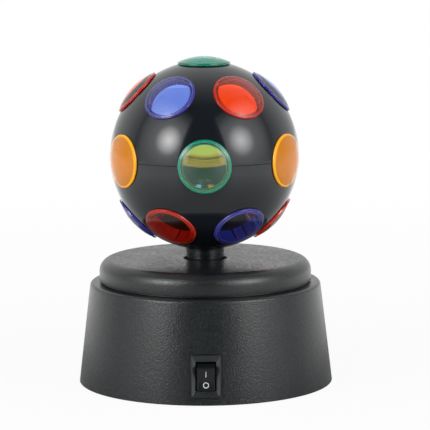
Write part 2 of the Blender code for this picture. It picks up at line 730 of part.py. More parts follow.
def make_cells():
    body = CELL_LENGTH - CELL_NUB_LENGTH
    outline = [
        (0.0, CELL_LENGTH),
        (CELL_NUB_RADIUS, CELL_LENGTH),
        (CELL_NUB_RADIUS, body),
        (CELL_RADIUS - 2 * GAP, body),
        (CELL_RADIUS, body - 2 * GAP),
        (CELL_RADIUS, 2 * GAP),
        (CELL_RADIUS - 2 * GAP, 0.0),
        (0.0, 0.0),
    ]
    cell = turned("cell", outline, SMALL_STEPS)
    for k in range(CELL_COUNT):
        towards = cell_direction(k)
        start = towards * (CELL_START + SPRING_LENGTH + GAP)
        battery = part(f"battery_{k + 1}", cell, CELL_WRAP)
        battery.location = (start, cell_line(k), CELL_AXIS)
        battery.rotation_euler = (0.0, towards * math.radians(90), 0.0)


def cell_line(k):
    return BAY_OFFSET + (k - (CELL_COUNT - 1) / 2) * CELL_SPACING


def cell_direction(k):
    """+1 where the cell's nub faces +X; neighbours lie opposite ways round."""
    return 1 if k % 2 == 0 else -1


def spring_mesh():
    """A coil that stands on z = 0, its foot sunk into the contact plate."""
    coil = []
    steps = 8 * SPRING_TURNS
    for k in range(steps + 1):
        share = k / steps
        radius = SPRING_RADIUS + (SPRING_TIP_RADIUS - SPRING_RADIUS) * share
        spot = polar(radius, 2 * math.pi * SPRING_TURNS * share)
        coil.append((spot.x, spot.y, (SPRING_LENGTH - SPRING_WIRE_RADIUS) * share))
    closest = SPRING_LENGTH / SPRING_TURNS - 2 * SPRING_WIRE_RADIUS
    print("least gap between a contact spring's turns, mm:", round(1000 * closest, 2))
    return wire_mesh("spring", coil, SPRING_WIRE_RADIUS, 0)


def make_contacts():
    """Plates at the ends of the bay, with a spring at each cell's flat end."""
    spring = spring_mesh()
    outer = BAY_HALF_X - GAP
    inner = outer - CONTACT_THICKNESS
    for k in range(-1, CELL_COUNT):
        first, last = max(k, 0), min(k + 1, CELL_COUNT - 1)
        side = -cell_direction(0) if k < 0 else cell_direction(k)
        name = f"battery_contact_{k + 2}"
        x_low, x_high = sorted((side * outer, side * inner))
        y_low = cell_line(first) - CONTACT_WIDTH / 2
        y_high = cell_line(last) + CONTACT_WIDTH / 2
        z_low = CELL_AXIS - CONTACT_HEIGHT / 2
        z_high = CELL_AXIS + CONTACT_HEIGHT / 2
        plate = boxes(name, [((x_low, y_low, z_low), (x_high, y_high, z_high))])
        contact = part(name, plate, STEEL)
        if k < CELL_COUNT - 1:
            coil = spring.copy()
            turn = Matrix.Rotation(-side * math.radians(90), 4, "Y")
            coil.transform(Matrix.Translation((side * inner, cell_line(last), CELL_AXIS)) @ turn)
            add(contact, f"contact_spring_{k + 2}", coil)


# Switch, built facing -Y about its own middle, on a seat that leans with the wall
SEAT_DEPTH = (BEZEL_WIDTH / 2) ** 2 / (2 * housing_radius(SWITCH_HEIGHT)) + GAP / 2
BEZEL_BACK = SEAT_DEPTH - GAP
BEZEL_FRONT = BEZEL_BACK - BEZEL_THICKNESS
PIVOT_DEPTH = BEZEL_FRONT + ROCKER_DEPTH
TIP_REACH = ROCKER_DEPTH + ROCKER_TIP_HEIGHT
TIP_RADIUS = math.hypot(ROCKER_LENGTH / 2, TIP_REACH)
LOWEST_TIP_ANGLE = math.atan2(TIP_REACH, ROCKER_LENGTH / 2) - ROCKER_TRAVEL
WINDOW_HALF_LENGTH = TIP_RADIUS * math.cos(LOWEST_TIP_ANGLE) + ROCKER_END_GAP
WINDOW_HALF_WIDTH = ROCKER_WIDTH / 2 + ROCKER_SIDE_GAP


def make_switch(seat):
    half_x, half_z = BEZEL_WIDTH / 2, BEZEL_LENGTH / 2
    bezel = boxes("switch_body", [((-half_x, BEZEL_FRONT, -half_z), (half_x, BEZEL_BACK, half_z))])
    body = part("switch_body", bezel, SWITCH_BLACK, seat)
    rounded(body, BEZEL_ROUNDING)
    half_x, half_z = SWITCH_BODY_WIDTH / 2, SWITCH_BODY_LENGTH / 2
    middle = (BEZEL_FRONT + BEZEL_BACK) / 2
    core = boxes("switch_core", [((-half_x, middle, -half_z), (half_x, SWITCH_BODY_DEPTH, half_z))])
    add(body, "switch_core", core, seat)
    half_x, half_z = WINDOW_HALF_WIDTH, WINDOW_HALF_LENGTH
    front = BEZEL_FRONT - BEZEL_THICKNESS
    back = BEZEL_FRONT + SWITCH_CAVITY_DEPTH
    cavity = boxes("rocker_cavity", [((-half_x, front, -half_z), (half_x, back, half_z))])
    cut(body, "rocker_cavity", cavity, seat)
    pin_half = ROCKER_WIDTH / 2 + ROCKER_PIN_LENGTH + GAP
    sideways = Matrix.Rotation(math.radians(90), 4, "Y")
    socket_radius = ROCKER_PIN_RADIUS + RUNNING_GAP
    sockets = posts("pin_sockets", [(0.0, 0.0)], socket_radius, -pin_half, pin_half, PIN_STEPS)
    sockets.transform(Matrix.Translation((0.0, PIVOT_DEPTH, 0.0)) @ sideways)
    cut(body, "pin_sockets", sockets, seat)

    for number, side in ((1, 1), (2, -1)):
        z = side * TERMINAL_SPREAD
        start = SWITCH_BODY_DEPTH + GAP
        low = (-TERMINAL_WIDTH / 2, start, z - TERMINAL_THICKNESS / 2)
        high = (TERMINAL_WIDTH / 2, start + TERMINAL_LENGTH, z + TERMINAL_THICKNESS / 2)
        part(f"switch_terminal_{number}", boxes("switch_terminal", [(low, high)]), BRASS, seat)


def make_rocker(pivot):
    """Side view in (depth, height) about the pivot; the tips face -Y."""
    tip = ROCKER_LENGTH / 2
    middle_face = -(TIP_REACH - ROCKER_DIP)
    reach = WINDOW_HALF_LENGTH - ROCKER_END_GAP
    waist, end = reach * math.sin(ROCKER_TRAVEL), reach * math.cos(ROCKER_TRAVEL)
    side_view = [
        (-TIP_REACH, tip),
        (middle_face, 0.0),
        (-TIP_REACH, -tip),
        (-waist, -end),
        (waist, -end),
        (ROCKER_HEEL, -tip / 2),
        (ROCKER_HEEL, tip / 2),
        (waist, end),
        (-waist, end),
    ]
    mesh = slab("switch_rocker", [side_view], -ROCKER_WIDTH / 2, ROCKER_WIDTH / 2)
    upright = Matrix(((0, 0, 1, 0), (1, 0, 0, 0), (0, 1, 0, 0), (0, 0, 0, 1)))
    mesh.transform(upright)
    rocker = part("switch_rocker", mesh, SWITCH_BLACK, pivot)
    pin_half = ROCKER_WIDTH / 2 + ROCKER_PIN_LENGTH
    pin = posts("rocker_pin", [(0.0, 0.0)], ROCKER_PIN_RADIUS, -pin_half, pin_half, PIN_STEPS)
    pin.transform(Matrix.Rotation(math.radians(90), 4, "Y"))
    add(rocker, "rocker_pin", pin, pivot)


# Ball
LENS_RIM_TOP = math.sqrt((BALL_RADIUS + GAP) ** 2 - LENS_RADIUS**2) + LENS_EDGE_HEIGHT
LENS_TOP = LENS_RIM_TOP + LENS_RISE
LENS_HOLE_RADIUS = (LENS_SKIRT_RADIUS + GAP) / math.cos(math.pi / LENS_STEPS)


def lens_mesh():
    """A domed cap about +Z, z = 0 at the ball's centre: its rim is on the ball, its skirt in the hole."""
    dome_radius = (LENS_RADIUS**2 + LENS_RISE**2) / (2 * LENS_RISE)
    dome_centre = (0.0, LENS_TOP - dome_radius)
    edge_angle = math.degrees(math.acos(LENS_RADIUS / dome_radius))
    inner_radius = dome_radius - LENS_WALL
    skirt_inner = LENS_SKIRT_RADIUS - LENS_WALL
    inner_edge = math.degrees(math.acos(skirt_inner / inner_radius))
    under_rim = math.sqrt((BALL_RADIUS + GAP) ** 2 - LENS_SKIRT_RADIUS**2)
    outline = arc(dome_centre, dome_radius, 90, edge_angle, 3)
    outline[0] = (0.0, LENS_TOP)
    outline += [
        (LENS_RADIUS, LENS_RIM_TOP - LENS_EDGE_HEIGHT),
        (LENS_SKIRT_RADIUS, under_rim),
        (LENS_SKIRT_RADIUS, under_rim - LENS_SKIRT_LENGTH),
        (skirt_inner, under_rim - LENS_SKIRT_LENGTH),
    ]
    inner = arc(dome_centre, inner_radius, inner_edge, 90, 2)
    inner[-1] = (0.0, LENS_TOP - LENS_WALL)
    return turned("lens", outline + inner, LENS_STEPS)


def lens_layout():
    """Name, colour, latitude and longitude of each lens; longitude from the front towards +X."""
    rows = [("lens_top", "green", math.radians(90), 0.0)]
    upper = ("red", "blue")
    lower = ("blue", "red")
    middle = ("amber", "green", "amber", "amber", "amber", "amber")  # green faces the switch side
    for k in range(6):
        turn = math.radians(-90 + 60 * k)
        rows.append((f"lens_upper_{k + 1}", upper[k % 2], LENS_RING_TILT, turn))
        rows.append((f"lens_lower_{k + 1}", lower[k % 2], -LENS_RING_TILT, turn))
    for k in range(6):
        turn = math.radians(-60 + 60 * k)
        rows.append((f"lens_equator_{k + 1}", middle[k], 0.0, turn))
    return rows


def facing(latitude, longitude):
    """Rotation that turns +Z to a direction on the ball."""
    return Euler((math.radians(90) - latitude, 0.0, longitude)).to_matrix().to_4x4()


def ball_shell(name, hub, bottom):
    """Upper or lower half of the ball, about the ball's centre."""
    inner = BALL_RADIUS - BALL_WALL
    edge = math.degrees(math.asin(GAP / 2 / BALL_RADIUS))
    if bottom:
        neck_hole = SPIGOT_RADIUS + GAP
        outer_end = -math.degrees(math.acos(neck_hole / BALL_RADIUS))
        inner_end = -math.degrees(math.acos(neck_hole / inner))
        lip_outer = inner - 2 * GAP
        lip_inner = lip_outer - SEAM_LIP_WALL
        outline = [(lip_inner, SEAM_LIP_HEIGHT), (lip_outer, SEAM_LIP_HEIGHT), (lip_outer, -GAP / 2)]
        outline += arc((0.0, 0.0), BALL_RADIUS, -edge, outer_end, BALL_ARC_STEPS)
        outline += arc((0.0, 0.0), inner, inner_end, -4 * edge, BALL_ARC_STEPS)
        outline += [(lip_inner, -SEAM_LIP_HEIGHT)]
        mesh = turned(name, outline, BALL_STEPS, ring=True)
    else:
        outline = arc((0.0, 0.0), BALL_RADIUS, 90, edge, BALL_ARC_STEPS)
        outline[0] = (0.0, BALL_RADIUS)
        back = arc((0.0, 0.0), inner, edge, 90, BALL_ARC_STEPS)
        back[-1] = (0.0, inner)
        mesh = turned(name, outline + back, BALL_STEPS)
    return part(name, mesh, GLOSS_BLACK, hub)


def make_ball(hub):
    upper = ball_shell("ball_upper_shell", hub, bottom=False)
    lower = ball_shell("ball_lower_shell", hub, bottom=True)
    plug_bottom = BALL_RADIUS - 3 * BALL_WALL - SEAM_LIP_WALL
    plug = posts("lens_plug", [(0.0, 0.0)], LENS_HOLE_RADIUS, plug_bottom, LENS_TOP, LENS_STEPS)
    rows = lens_layout()
    plugs = copies("lens_holes", plug, [facing(lat, lon) for _, _, lat, lon in rows])
    cut(upper, "lens_holes_upper", plugs, hub)
    cut(lower, "lens_holes_lower", plugs.copy(), hub)
    cap = lens_mesh()
    caps = {color: cap.copy() for color in LENS_COLORS}
    for name, color, latitude, longitude in rows:
        lens = part(name, caps[color], LENS_COLORS[color], hub)
        lens.rotation_euler = facing(latitude, longitude).to_euler()


def make_neck(hub):
    collar_top = BALL_CENTRE - math.sqrt(BALL_RADIUS**2 - COLLAR_RADIUS**2) - GAP
    spigot_top = collar_top + SPIGOT_LENGTH
    lip = COLLAR_HEIGHT / 6
    groove = COLLAR_RADIUS - lip / 2
    collar_bottom = collar_top - COLLAR_HEIGHT
    outline = [
        (NECK_BORE_RADIUS, spigot_top),
        (SPIGOT_RADIUS, spigot_top),
        (SPIGOT_RADIUS, collar_top),
        (COLLAR_RADIUS, collar_top),
        (COLLAR_RADIUS, collar_top - lip),
        (groove, collar_top - lip),
        (groove, collar_bottom + lip),
        (COLLAR_RADIUS, collar_bottom + lip),
        (COLLAR_RADIUS, collar_bottom),
        (NECK_RADIUS, collar_bottom),
        (NECK_RADIUS, HUB_BOTTOM),
        (NECK_BORE_RADIUS, HUB_BOTTOM),
    ]
    neck = turned("ball_neck", [(r, z - BALL_CENTRE) for r, z in outline], SMALL_STEPS, ring=True)
    part("ball_neck", neck, GLOSS_BLACK, hub)


# Light source
def make_light():
    board_top = BALL_CENTRE - BOARD_DROP
    board_bottom = board_top - BOARD_THICKNESS
    flange_top = DECK_UNDERSIDE - GAP
    flange_bottom = flange_top - POST_FLANGE_THICKNESS
    outline = [
        (POST_BORE_RADIUS, board_bottom - GAP),
        (POST_RADIUS, board_bottom - GAP),
        (POST_RADIUS, flange_top),
        (POST_FLANGE_RADIUS, flange_top),
        (POST_FLANGE_RADIUS, flange_bottom),
        (POST_BORE_RADIUS, flange_bottom),
    ]
    part("led_post", turned("led_post", outline, SMALL_STEPS, ring=True), INNER_BLACK)
    board = slab("led_board", [circle(BOARD_RADIUS, SMALL_STEPS)], board_bottom, board_top)
    part("led_board", board, BOARD_GREEN)
    straight = LED_LENGTH - LED_RADIUS
    outline = arc((0.0, straight), LED_RADIUS, 90, 0, 3)
    outline[0] = (0.0, LED_LENGTH)
    outline += [
        (LED_RADIUS, LED_FLANGE_THICKNESS),
        (LED_FLANGE_RADIUS, LED_FLANGE_THICKNESS),
        (LED_FLANGE_RADIUS, 0.0),
        (0.0, 0.0),
    ]
    led = part("led", turned("led", outline, SMALL_STEPS), LED_CLEAR)
    led.location.z = board_top + GAP
    return board_bottom, flange_bottom


# Drive
def make_deck():
    holes = [circle(POST_RADIUS + GAP, SMALL_STEPS)]
    holes += [circle(PILOT_RADIUS, SCREW_STEPS, spot.xy) for spot in COVER_BOSS_PLACES]
    disc = slab("gear_deck", [circle(DECK_RADIUS, BASE_STEPS)] + holes, DECK_UNDERSIDE, DECK_TOP)
    deck = part("gear_deck", disc, INNER_BLACK)
    middle = DECK_TOP - DECK_THICKNESS / 2
    boss_bottom = DECK_UNDERSIDE - IDLER_BOSS_LENGTH
    boss = posts("idler_boss", [IDLER_PLACE], IDLER_BOSS_RADIUS, boss_bottom, middle)
    add(deck, "idler_boss", boss)
    seat_radius = IDLER_AXLE_RADIUS + GAP
    seat = posts("idler_seat", [IDLER_PLACE], seat_radius, boss_bottom - GAP, DECK_TOP + GAP, PIN_STEPS)
    cut(deck, "idler_seat", seat)
    inner_x, inner_y = MOTOR_WIDTH / 2 + GAP, MOTOR_DEPTH / 2 + GAP
    outer_x, outer_y = inner_x + SLEEVE_WALL, inner_y + SLEEVE_WALL
    sleeve = slab("motor_sleeve", [rectangle(outer_x, outer_y)], GEARHEAD_TOP - SLEEVE_DEPTH, middle)
    sleeve.transform(Matrix.Translation(MOTOR_PLACE))
    add(deck, "motor_sleeve", sleeve)
    pocket = slab("gearhead_pocket", [rectangle(inner_x, inner_y)], GEARHEAD_BOTTOM, DECK_UNDERSIDE)
    pocket.transform(Matrix.Translation(MOTOR_PLACE))
    cut(deck, "gearhead_pocket", pocket)
    hole_radius = OUTPUT_SHAFT_RADIUS + 3 * RUNNING_GAP
    reach = posts("shaft_hole", [MOTOR_PLACE], hole_radius, GEARHEAD_TOP, DECK_TOP + GAP, PIN_STEPS)
    cut(deck, "shaft_hole", reach)


def make_drive(hub, idler, motor):
    bore = circle(NECK_RADIUS + GAP, SMALL_STEPS)
    rim = gear_outline(BALL_GEAR_TEETH, 0.0, 1)
    disc = slab("ball_gear", [rim, bore], GEAR_BOTTOM - BALL_CENTRE, GEAR_TOP - BALL_CENTRE)
    ball_gear = part("ball_gear", disc, GEAR_WHITE, hub)
    middle = (GEAR_BOTTOM + GEAR_TOP) / 2 - BALL_CENTRE
    sleeve = slab("gear_hub", [circle(HUB_RADIUS, SMALL_STEPS), bore], HUB_BOTTOM - BALL_CENTRE, middle)
    add(ball_gear, "gear_hub", sleeve, hub)

    pinion_phase = meshing_phase(IDLER_BEARING, BALL_GEAR_TEETH, 0.0, PINION_TEETH)
    bore = circle(IDLER_AXLE_RADIUS + RUNNING_GAP, PIN_STEPS)
    wheel = slab("idler_gear", [gear_outline(WHEEL_TEETH, 0.0, 1), bore], WHEEL_BOTTOM, WHEEL_TOP)
    idler_gear = part("idler_gear", wheel, GEAR_WHITE, idler)
    overlap = WHEEL_TOP - WHEEL_WIDTH / 2
    teeth = gear_outline(PINION_TEETH, pinion_phase, 2)
    pinion = slab("idler_pinion", [teeth, bore], overlap, GEAR_TOP + GAP)
    add(idler_gear, "idler_pinion", pinion, idler)

    motor_phase = meshing_phase(MOTOR_BEARING, WHEEL_TEETH, 0.0, PINION_TEETH)
    teeth = gear_outline(PINION_TEETH, motor_phase, 2)
    toothed = slab("motor_pinion", [teeth], WHEEL_BOTTOM - GAP, WHEEL_TOP)
    pinion = part("motor_pinion", toothed, BRASS, motor)
    shaft_bottom = GEARHEAD_TOP - OUTPUT_SHAFT_SEAT + GAP
    shaft_top = WHEEL_BOTTOM + GAP
    shaft = posts("output_shaft", [(0.0, 0.0)], OUTPUT_SHAFT_RADIUS, shaft_bottom, shaft_top, PIN_STEPS)
    add(pinion, "output_shaft", shaft, motor)


def make_bearings():
    washer = [circle(HUB_RADIUS - 2 * GAP, SMALL_STEPS), circle(NECK_BORE_RADIUS, SMALL_STEPS)]
    washer_top = WASHER_BOTTOM + WASHER_THICKNESS
    part("thrust_washer", slab("thrust_washer", washer, WASHER_BOTTOM, washer_top), STEEL)
    flange_top = BUSH_BOTTOM + BUSH_FLANGE_THICKNESS
    bore = NECK_RADIUS + RUNNING_GAP
    outline = [
        (bore, CEILING),
        (BUSH_SLEEVE_RADIUS, CEILING),
        (BUSH_SLEEVE_RADIUS, flange_top),
        (NECK_HOLE_RADIUS + BUSH_BOSS_WALL, flange_top),
        (NECK_HOLE_RADIUS + BUSH_BOSS_WALL, BUSH_BOTTOM),
        (bore, BUSH_BOTTOM),
    ]
    part("neck_bush", turned("neck_bush", outline, SMALL_STEPS, ring=True), GEAR_WHITE)
    head_bottom = GEAR_TOP + 2 * GAP
    head_top = head_bottom + AXLE_HEAD_HEIGHT
    outline = [
        (0.0, head_top),
        (AXLE_HEAD_RADIUS, head_top),
        (AXLE_HEAD_RADIUS, head_bottom),
        (IDLER_AXLE_RADIUS, head_bottom),
        (IDLER_AXLE_RADIUS, DECK_UNDERSIDE - IDLER_BOSS_LENGTH),
        (0.0, DECK_UNDERSIDE - IDLER_BOSS_LENGTH),
    ]
    part("idler_axle", turned("idler_axle", outline, PIN_STEPS), STEEL).location = IDLER_PLACE


def make_motor():
    half_x, half_y = MOTOR_WIDTH / 2, MOTOR_DEPTH / 2
    block = boxes("gearhead", [((-half_x, -half_y, GEARHEAD_BOTTOM), (half_x, half_y, GEARHEAD_TOP))])
    gearhead = part("gearhead", block, BRASS)
    gearhead.location = MOTOR_PLACE
    seat_bottom = GEARHEAD_TOP - OUTPUT_SHAFT_SEAT
    seat_radius = OUTPUT_SHAFT_RADIUS + RUNNING_GAP
    seat = posts("shaft_seat", [MOTOR_PLACE], seat_radius, seat_bottom, GEARHEAD_TOP + GAP, PIN_STEPS)
    cut(gearhead, "shaft_seat", seat)

    can_outline = []
    flat_angle = math.asin(half_y / half_x)
    for start in (-flat_angle, math.pi - flat_angle):
        for k in range(7):
            spot = polar(half_x, start + 2 * flat_angle * k / 6)
            can_outline.append((spot.x, spot.y))
    can_top = GEARHEAD_BOTTOM - GAP
    can = slab("drive_motor", [can_outline], can_top - MOTOR_LENGTH, can_top)
    part("drive_motor", can, STEEL).location = MOTOR_PLACE


def make_lead(seat, board_bottom, flange_bottom):
    """The pair of cores to the LED as one lead, down the post to the switch's upper terminal."""
    tab_end = SWITCH_BODY_DEPTH + GAP + TERMINAL_LENGTH + GAP + WIRE_RADIUS
    bpy.context.view_layer.update()
    terminal = seat.matrix_world @ Vector((0.0, tab_end, TERMINAL_SPREAD))
    drop = flange_bottom - terminal.z
    route = [
        (0.0, 0.0, board_bottom - GAP),
        (0.0, 0.0, (board_bottom + flange_bottom) / 2),
        (0.0, 0.0, flange_bottom),
        (0.0, 0.25 * terminal.y, flange_bottom - 0.45 * drop),
        (0.0, 0.70 * terminal.y, flange_bottom - 0.80 * drop),
        terminal,
    ]
    part("led_lead", wire_mesh("led_lead", smooth_route(route, 20), WIRE_RADIUS), WIRE_RED)


def build():
    on_wall = (0.0, -housing_radius(SWITCH_HEIGHT), SWITCH_HEIGHT)
    switch_seat = anchor("switch_seat", on_wall, (-SLOPE, 0.0, 0.0))
    lower_half_in = (ROCKER_TRAVEL, 0.0, 0.0)
    rocker_pivot = anchor("rocker_pivot", (0.0, PIVOT_DEPTH, 0.0), lower_half_in, switch_seat)
    ball_hub = anchor("ball_hub", (0.0, 0.0, BALL_CENTRE))
    idler_hub = anchor("idler_hub", IDLER_PLACE)
    motor_hub = anchor("motor_hub", MOTOR_PLACE)

    make_housing(switch_seat)
    make_cover()
    make_bottom_plate()
    make_door()
    make_feet()
    make_cells()
    make_contacts()
    screws("case_screw", CASE_BOSS_PLACES, PLATE_UNDERSIDE - GAP, CASE_SCREW_LENGTH)
    screws("door_screw", [DOOR_SCREW_PLACE], PLATE_UNDERSIDE - GAP, CASE_SCREW_LENGTH)
    screws("cover_screw", COVER_BOSS_PLACES, DECK_UNDERSIDE - GAP, COVER_SCREW_LENGTH)
    make_switch(switch_seat)
    make_rocker(rocker_pivot)
    make_ball(ball_hub)
    make_neck(ball_hub)
    board_bottom, flange_bottom = make_light()
    make_deck()
    make_drive(ball_hub, idler_hub, motor_hub)
    make_bearings()
    make_motor()
    make_lead(switch_seat, board_bottom, flange_bottom)


build()
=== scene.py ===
import math

import bmesh
import bpy
from mathutils import Euler, Matrix, Vector


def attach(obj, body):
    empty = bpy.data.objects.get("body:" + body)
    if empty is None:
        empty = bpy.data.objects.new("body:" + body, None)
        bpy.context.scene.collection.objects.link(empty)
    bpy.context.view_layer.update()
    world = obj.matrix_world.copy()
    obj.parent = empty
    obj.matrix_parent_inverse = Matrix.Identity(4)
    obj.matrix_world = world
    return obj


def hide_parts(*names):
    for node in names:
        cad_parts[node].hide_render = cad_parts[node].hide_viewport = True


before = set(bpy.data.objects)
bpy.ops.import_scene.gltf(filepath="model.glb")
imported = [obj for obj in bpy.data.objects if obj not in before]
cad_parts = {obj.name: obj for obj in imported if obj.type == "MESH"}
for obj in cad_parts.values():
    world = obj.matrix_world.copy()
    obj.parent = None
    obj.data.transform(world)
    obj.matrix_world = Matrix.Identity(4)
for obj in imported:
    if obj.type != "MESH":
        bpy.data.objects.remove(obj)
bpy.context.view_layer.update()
print("frame loaded:", len(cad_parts), "solids")

# all lengths are in metres and all angles in degrees, unless a note says otherwise
fitGap = 0.0003  # left round everything that is pressed or glued in
sharpFrom = 35  # an edge that bends more than this stays sharp, unless its piece says otherwise


# mesh helpers
def arcPoints(centreR, centreZ, radius, startDeg, endDeg, steps):
    points = []
    for k in range(steps + 1):
        angle = math.radians(startDeg + (endDeg - startDeg) * k / steps)
        points.append((centreR + radius * math.cos(angle), centreZ + radius * math.sin(angle)))
    return points


# a profile of (radius, height) points turned about the upright axis
def spinInto(bm, profile, steps, closed=False, centre=(0.0, 0.0)):
    rings = []
    for radius, height in profile:
        if radius < 1e-7:
            rings.append([bm.verts.new((centre[0], centre[1], height))])
            continue
        ring = []
        for k in range(steps):
            angle = 2 * math.pi * k / steps
            x = centre[0] + radius * math.cos(angle)
            y = centre[1] + radius * math.sin(angle)
            ring.append(bm.verts.new((x, y, height)))
        rings.append(ring)
    pairs = list(zip(rings, rings[1:]))
    if closed:
        pairs.append((rings[-1], rings[0]))
    for low, high in pairs:
        for k in range(steps):
            n = (k + 1) % steps
            if len(low) == 1:
                bm.faces.new((low[0], high[k], high[n]))
            elif len(high) == 1:
                bm.faces.new((low[k], high[0], low[n]))
            else:
                bm.faces.new((low[k], high[k], high[n], low[n]))


def smoothMesh(mesh, sharpAngle=sharpFrom):
    for face in mesh.polygons:
        face.use_smooth = True
    mesh.set_sharp_from_angle(angle=math.radians(sharpAngle))


def finishMesh(bm, name, sharpAngle=sharpFrom):
    bmesh.ops.recalc_face_normals(bm, faces=bm.faces)
    mesh = plainMesh(bm, name)
    smoothMesh(mesh, sharpAngle)
    return mesh


def plainMesh(bm, name):
    mesh = bpy.data.meshes.new(name)
    bm.to_mesh(mesh)
    bm.free()
    return mesh


def turned(name, profile, steps, closed=False, sharpAngle=sharpFrom):
    bm = bmesh.new()
    spinInto(bm, profile, steps, closed)
    return finishMesh(bm, name, sharpAngle)


def roundedRect(halfX, halfZ, radius, depth, cornerSteps=5):
    loop = []
    for signX, signZ, start in ((1, 1, 0), (-1, 1, 90), (-1, -1, 180), (1, -1, 270)):
        cornerX, cornerZ = signX * (halfX - radius), signZ * (halfZ - radius)
        for k in range(cornerSteps + 1):
            angle = math.radians(start + 90 * k / cornerSteps)
            x, z = cornerX + radius * math.cos(angle), cornerZ + radius * math.sin(angle)
            loop.append((x, depth, z))
    return loop


def loftLoops(name, loops, sharpAngle):
    bm = bmesh.new()
    rings = [[bm.verts.new(co) for co in loop] for loop in loops]
    for low, high in zip(rings, rings[1:]):
        count = len(low)
        for k in range(count):
            n = (k + 1) % count
            bm.faces.new((low[k], low[n], high[n], high[k]))
    bm.faces.new(rings[0])
    bm.faces.new(rings[-1])
    return finishMesh(bm, name, sharpAngle)


def boxInto(bm, low, high):
    made = bmesh.ops.create_cube(bm, size=1.0)["verts"]
    for vert in made:
        for axis in range(3):
            vert.co[axis] = low[axis] if vert.co[axis] < 0 else high[axis]


def linkObject(name, data):
    made = bpy.data.objects.new(name, data)
    bpy.context.scene.collection.objects.link(made)
    return made


def addPiece(name, mesh, body, material, place=None):
    piece = linkObject(name, mesh)
    if place is not None:
        piece.matrix_world = place
    mesh.materials.clear()
    mesh.materials.append(material)
    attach(piece, body)
    return piece


# the mesh as it is with its holder's modifiers on
def bakedMesh(holder, sharpAngle=sharpFrom):
    graph = bpy.context.evaluated_depsgraph_get()
    result = bpy.data.meshes.new_from_object(holder.evaluated_get(graph))
    bpy.data.objects.remove(holder)
    smoothMesh(result, sharpAngle)
    return result


def cutMesh(mesh, cutter, sharpAngle=sharpFrom):
    target, tool = linkObject("cutTarget", mesh), linkObject("cutTool", cutter)
    modifier = target.modifiers.new("cut", "BOOLEAN")
    modifier.operation = "DIFFERENCE"
    modifier.solver = "EXACT"
    modifier.object = tool
    result = bakedMesh(target, sharpAngle)
    bpy.data.objects.remove(tool)
    return result


def bevelMesh(mesh, width, segments, angle):
    holder = linkObject("bevelHolder", mesh)
    modifier = holder.modifiers.new("edge", "BEVEL")
    modifier.width = width
    modifier.segments = segments
    modifier.limit_method = "ANGLE"
    modifier.angle_limit = math.radians(angle)
    return bakedMesh(holder)


# material helpers; a socket is given a link, a colour, a vector or a number
def feed(tree, socket, value):
    if isinstance(value, bpy.types.NodeSocket):
        tree.links.new(value, socket)
    elif isinstance(value, tuple) and socket.type == "RGBA":
        socket.default_value = (*value, 1.0)
    else:
        socket.default_value = value


def addNode(tree, kind, inputs, **settings):
    node = tree.nodes.new(kind)
    for name, value in settings.items():
        setattr(node, name, value)
    for key, value in inputs.items():
        feed(tree, node.inputs[key], value)
    return node


def newMaterial(name):
    material = bpy.data.materials.new(name)
    material.use_nodes = True
    tree = material.node_tree
    return material, tree, tree.nodes["Principled BSDF"]


def objectCoords(tree):
    return tree.nodes.new("ShaderNodeTexCoord").outputs["Object"]


def noise(tree, coords, scale, detail):
    inputs = {"Vector": coords, "Scale": scale, "Detail": detail, "Roughness": 0.55}
    return addNode(tree, "ShaderNodeTexNoise", inputs).outputs["Fac"]


# noise stays mostly between these two, and its high spots lie between the other two
noiseRange = (0.3, 0.7)
noiseTops = (0.45, 0.75)


def spread(tree, source, low, high, sourceRange=noiseRange):
    inputs = {"Value": source, "From Min": sourceRange[0], "From Max": sourceRange[1],
              "To Min": low, "To Max": high}
    return addNode(tree, "ShaderNodeMapRange", inputs).outputs["Result"]


def tintRamp(tree, source, dark, light):
    ramp = addNode(tree, "ShaderNodeValToRGB", {"Fac": source})
    for element, spot, colour in zip(ramp.color_ramp.elements, noiseRange, (dark, light)):
        element.position = spot
        element.color = (*colour, 1.0)
    return ramp.outputs["Color"]


def mixMath(tree, operation, first, second=0.0):
    inputs = {0: first, 1: second}
    return addNode(tree, "ShaderNodeMath", inputs, operation=operation).outputs["Value"]


def vectorMath(tree, operation, first, second=(0.0, 0.0, 0.0)):
    inputs = {0: first, 1: second}
    node = addNode(tree, "ShaderNodeVectorMath", inputs, operation=operation)
    return node.outputs["Value" if operation == "LENGTH" else "Vector"]


def mixColours(tree, share, first, second, blend="MIX"):
    inputs = {"Factor": share, "A": first, "B": second}
    node = addNode(tree, "ShaderNodeMix", inputs, data_type="RGBA", blend_type=blend)
    return node.outputs["Result"]


def splitVector(tree, vector):
    return addNode(tree, "ShaderNodeSeparateXYZ", {"Vector": vector}).outputs


def bumpFrom(tree, height, strength, distance, before=None):
    inputs = {"Strength": strength, "Distance": distance, "Height": height}
    if before is not None:
        inputs["Normal"] = before
    return addNode(tree, "ShaderNodeBump", inputs).outputs["Normal"]


# moulded plastic: slow clouds of tone and gloss, fine grain on top
faceUp = (0.80, 0.98)  # upward part of the normal, where a face starts to look up and fully does


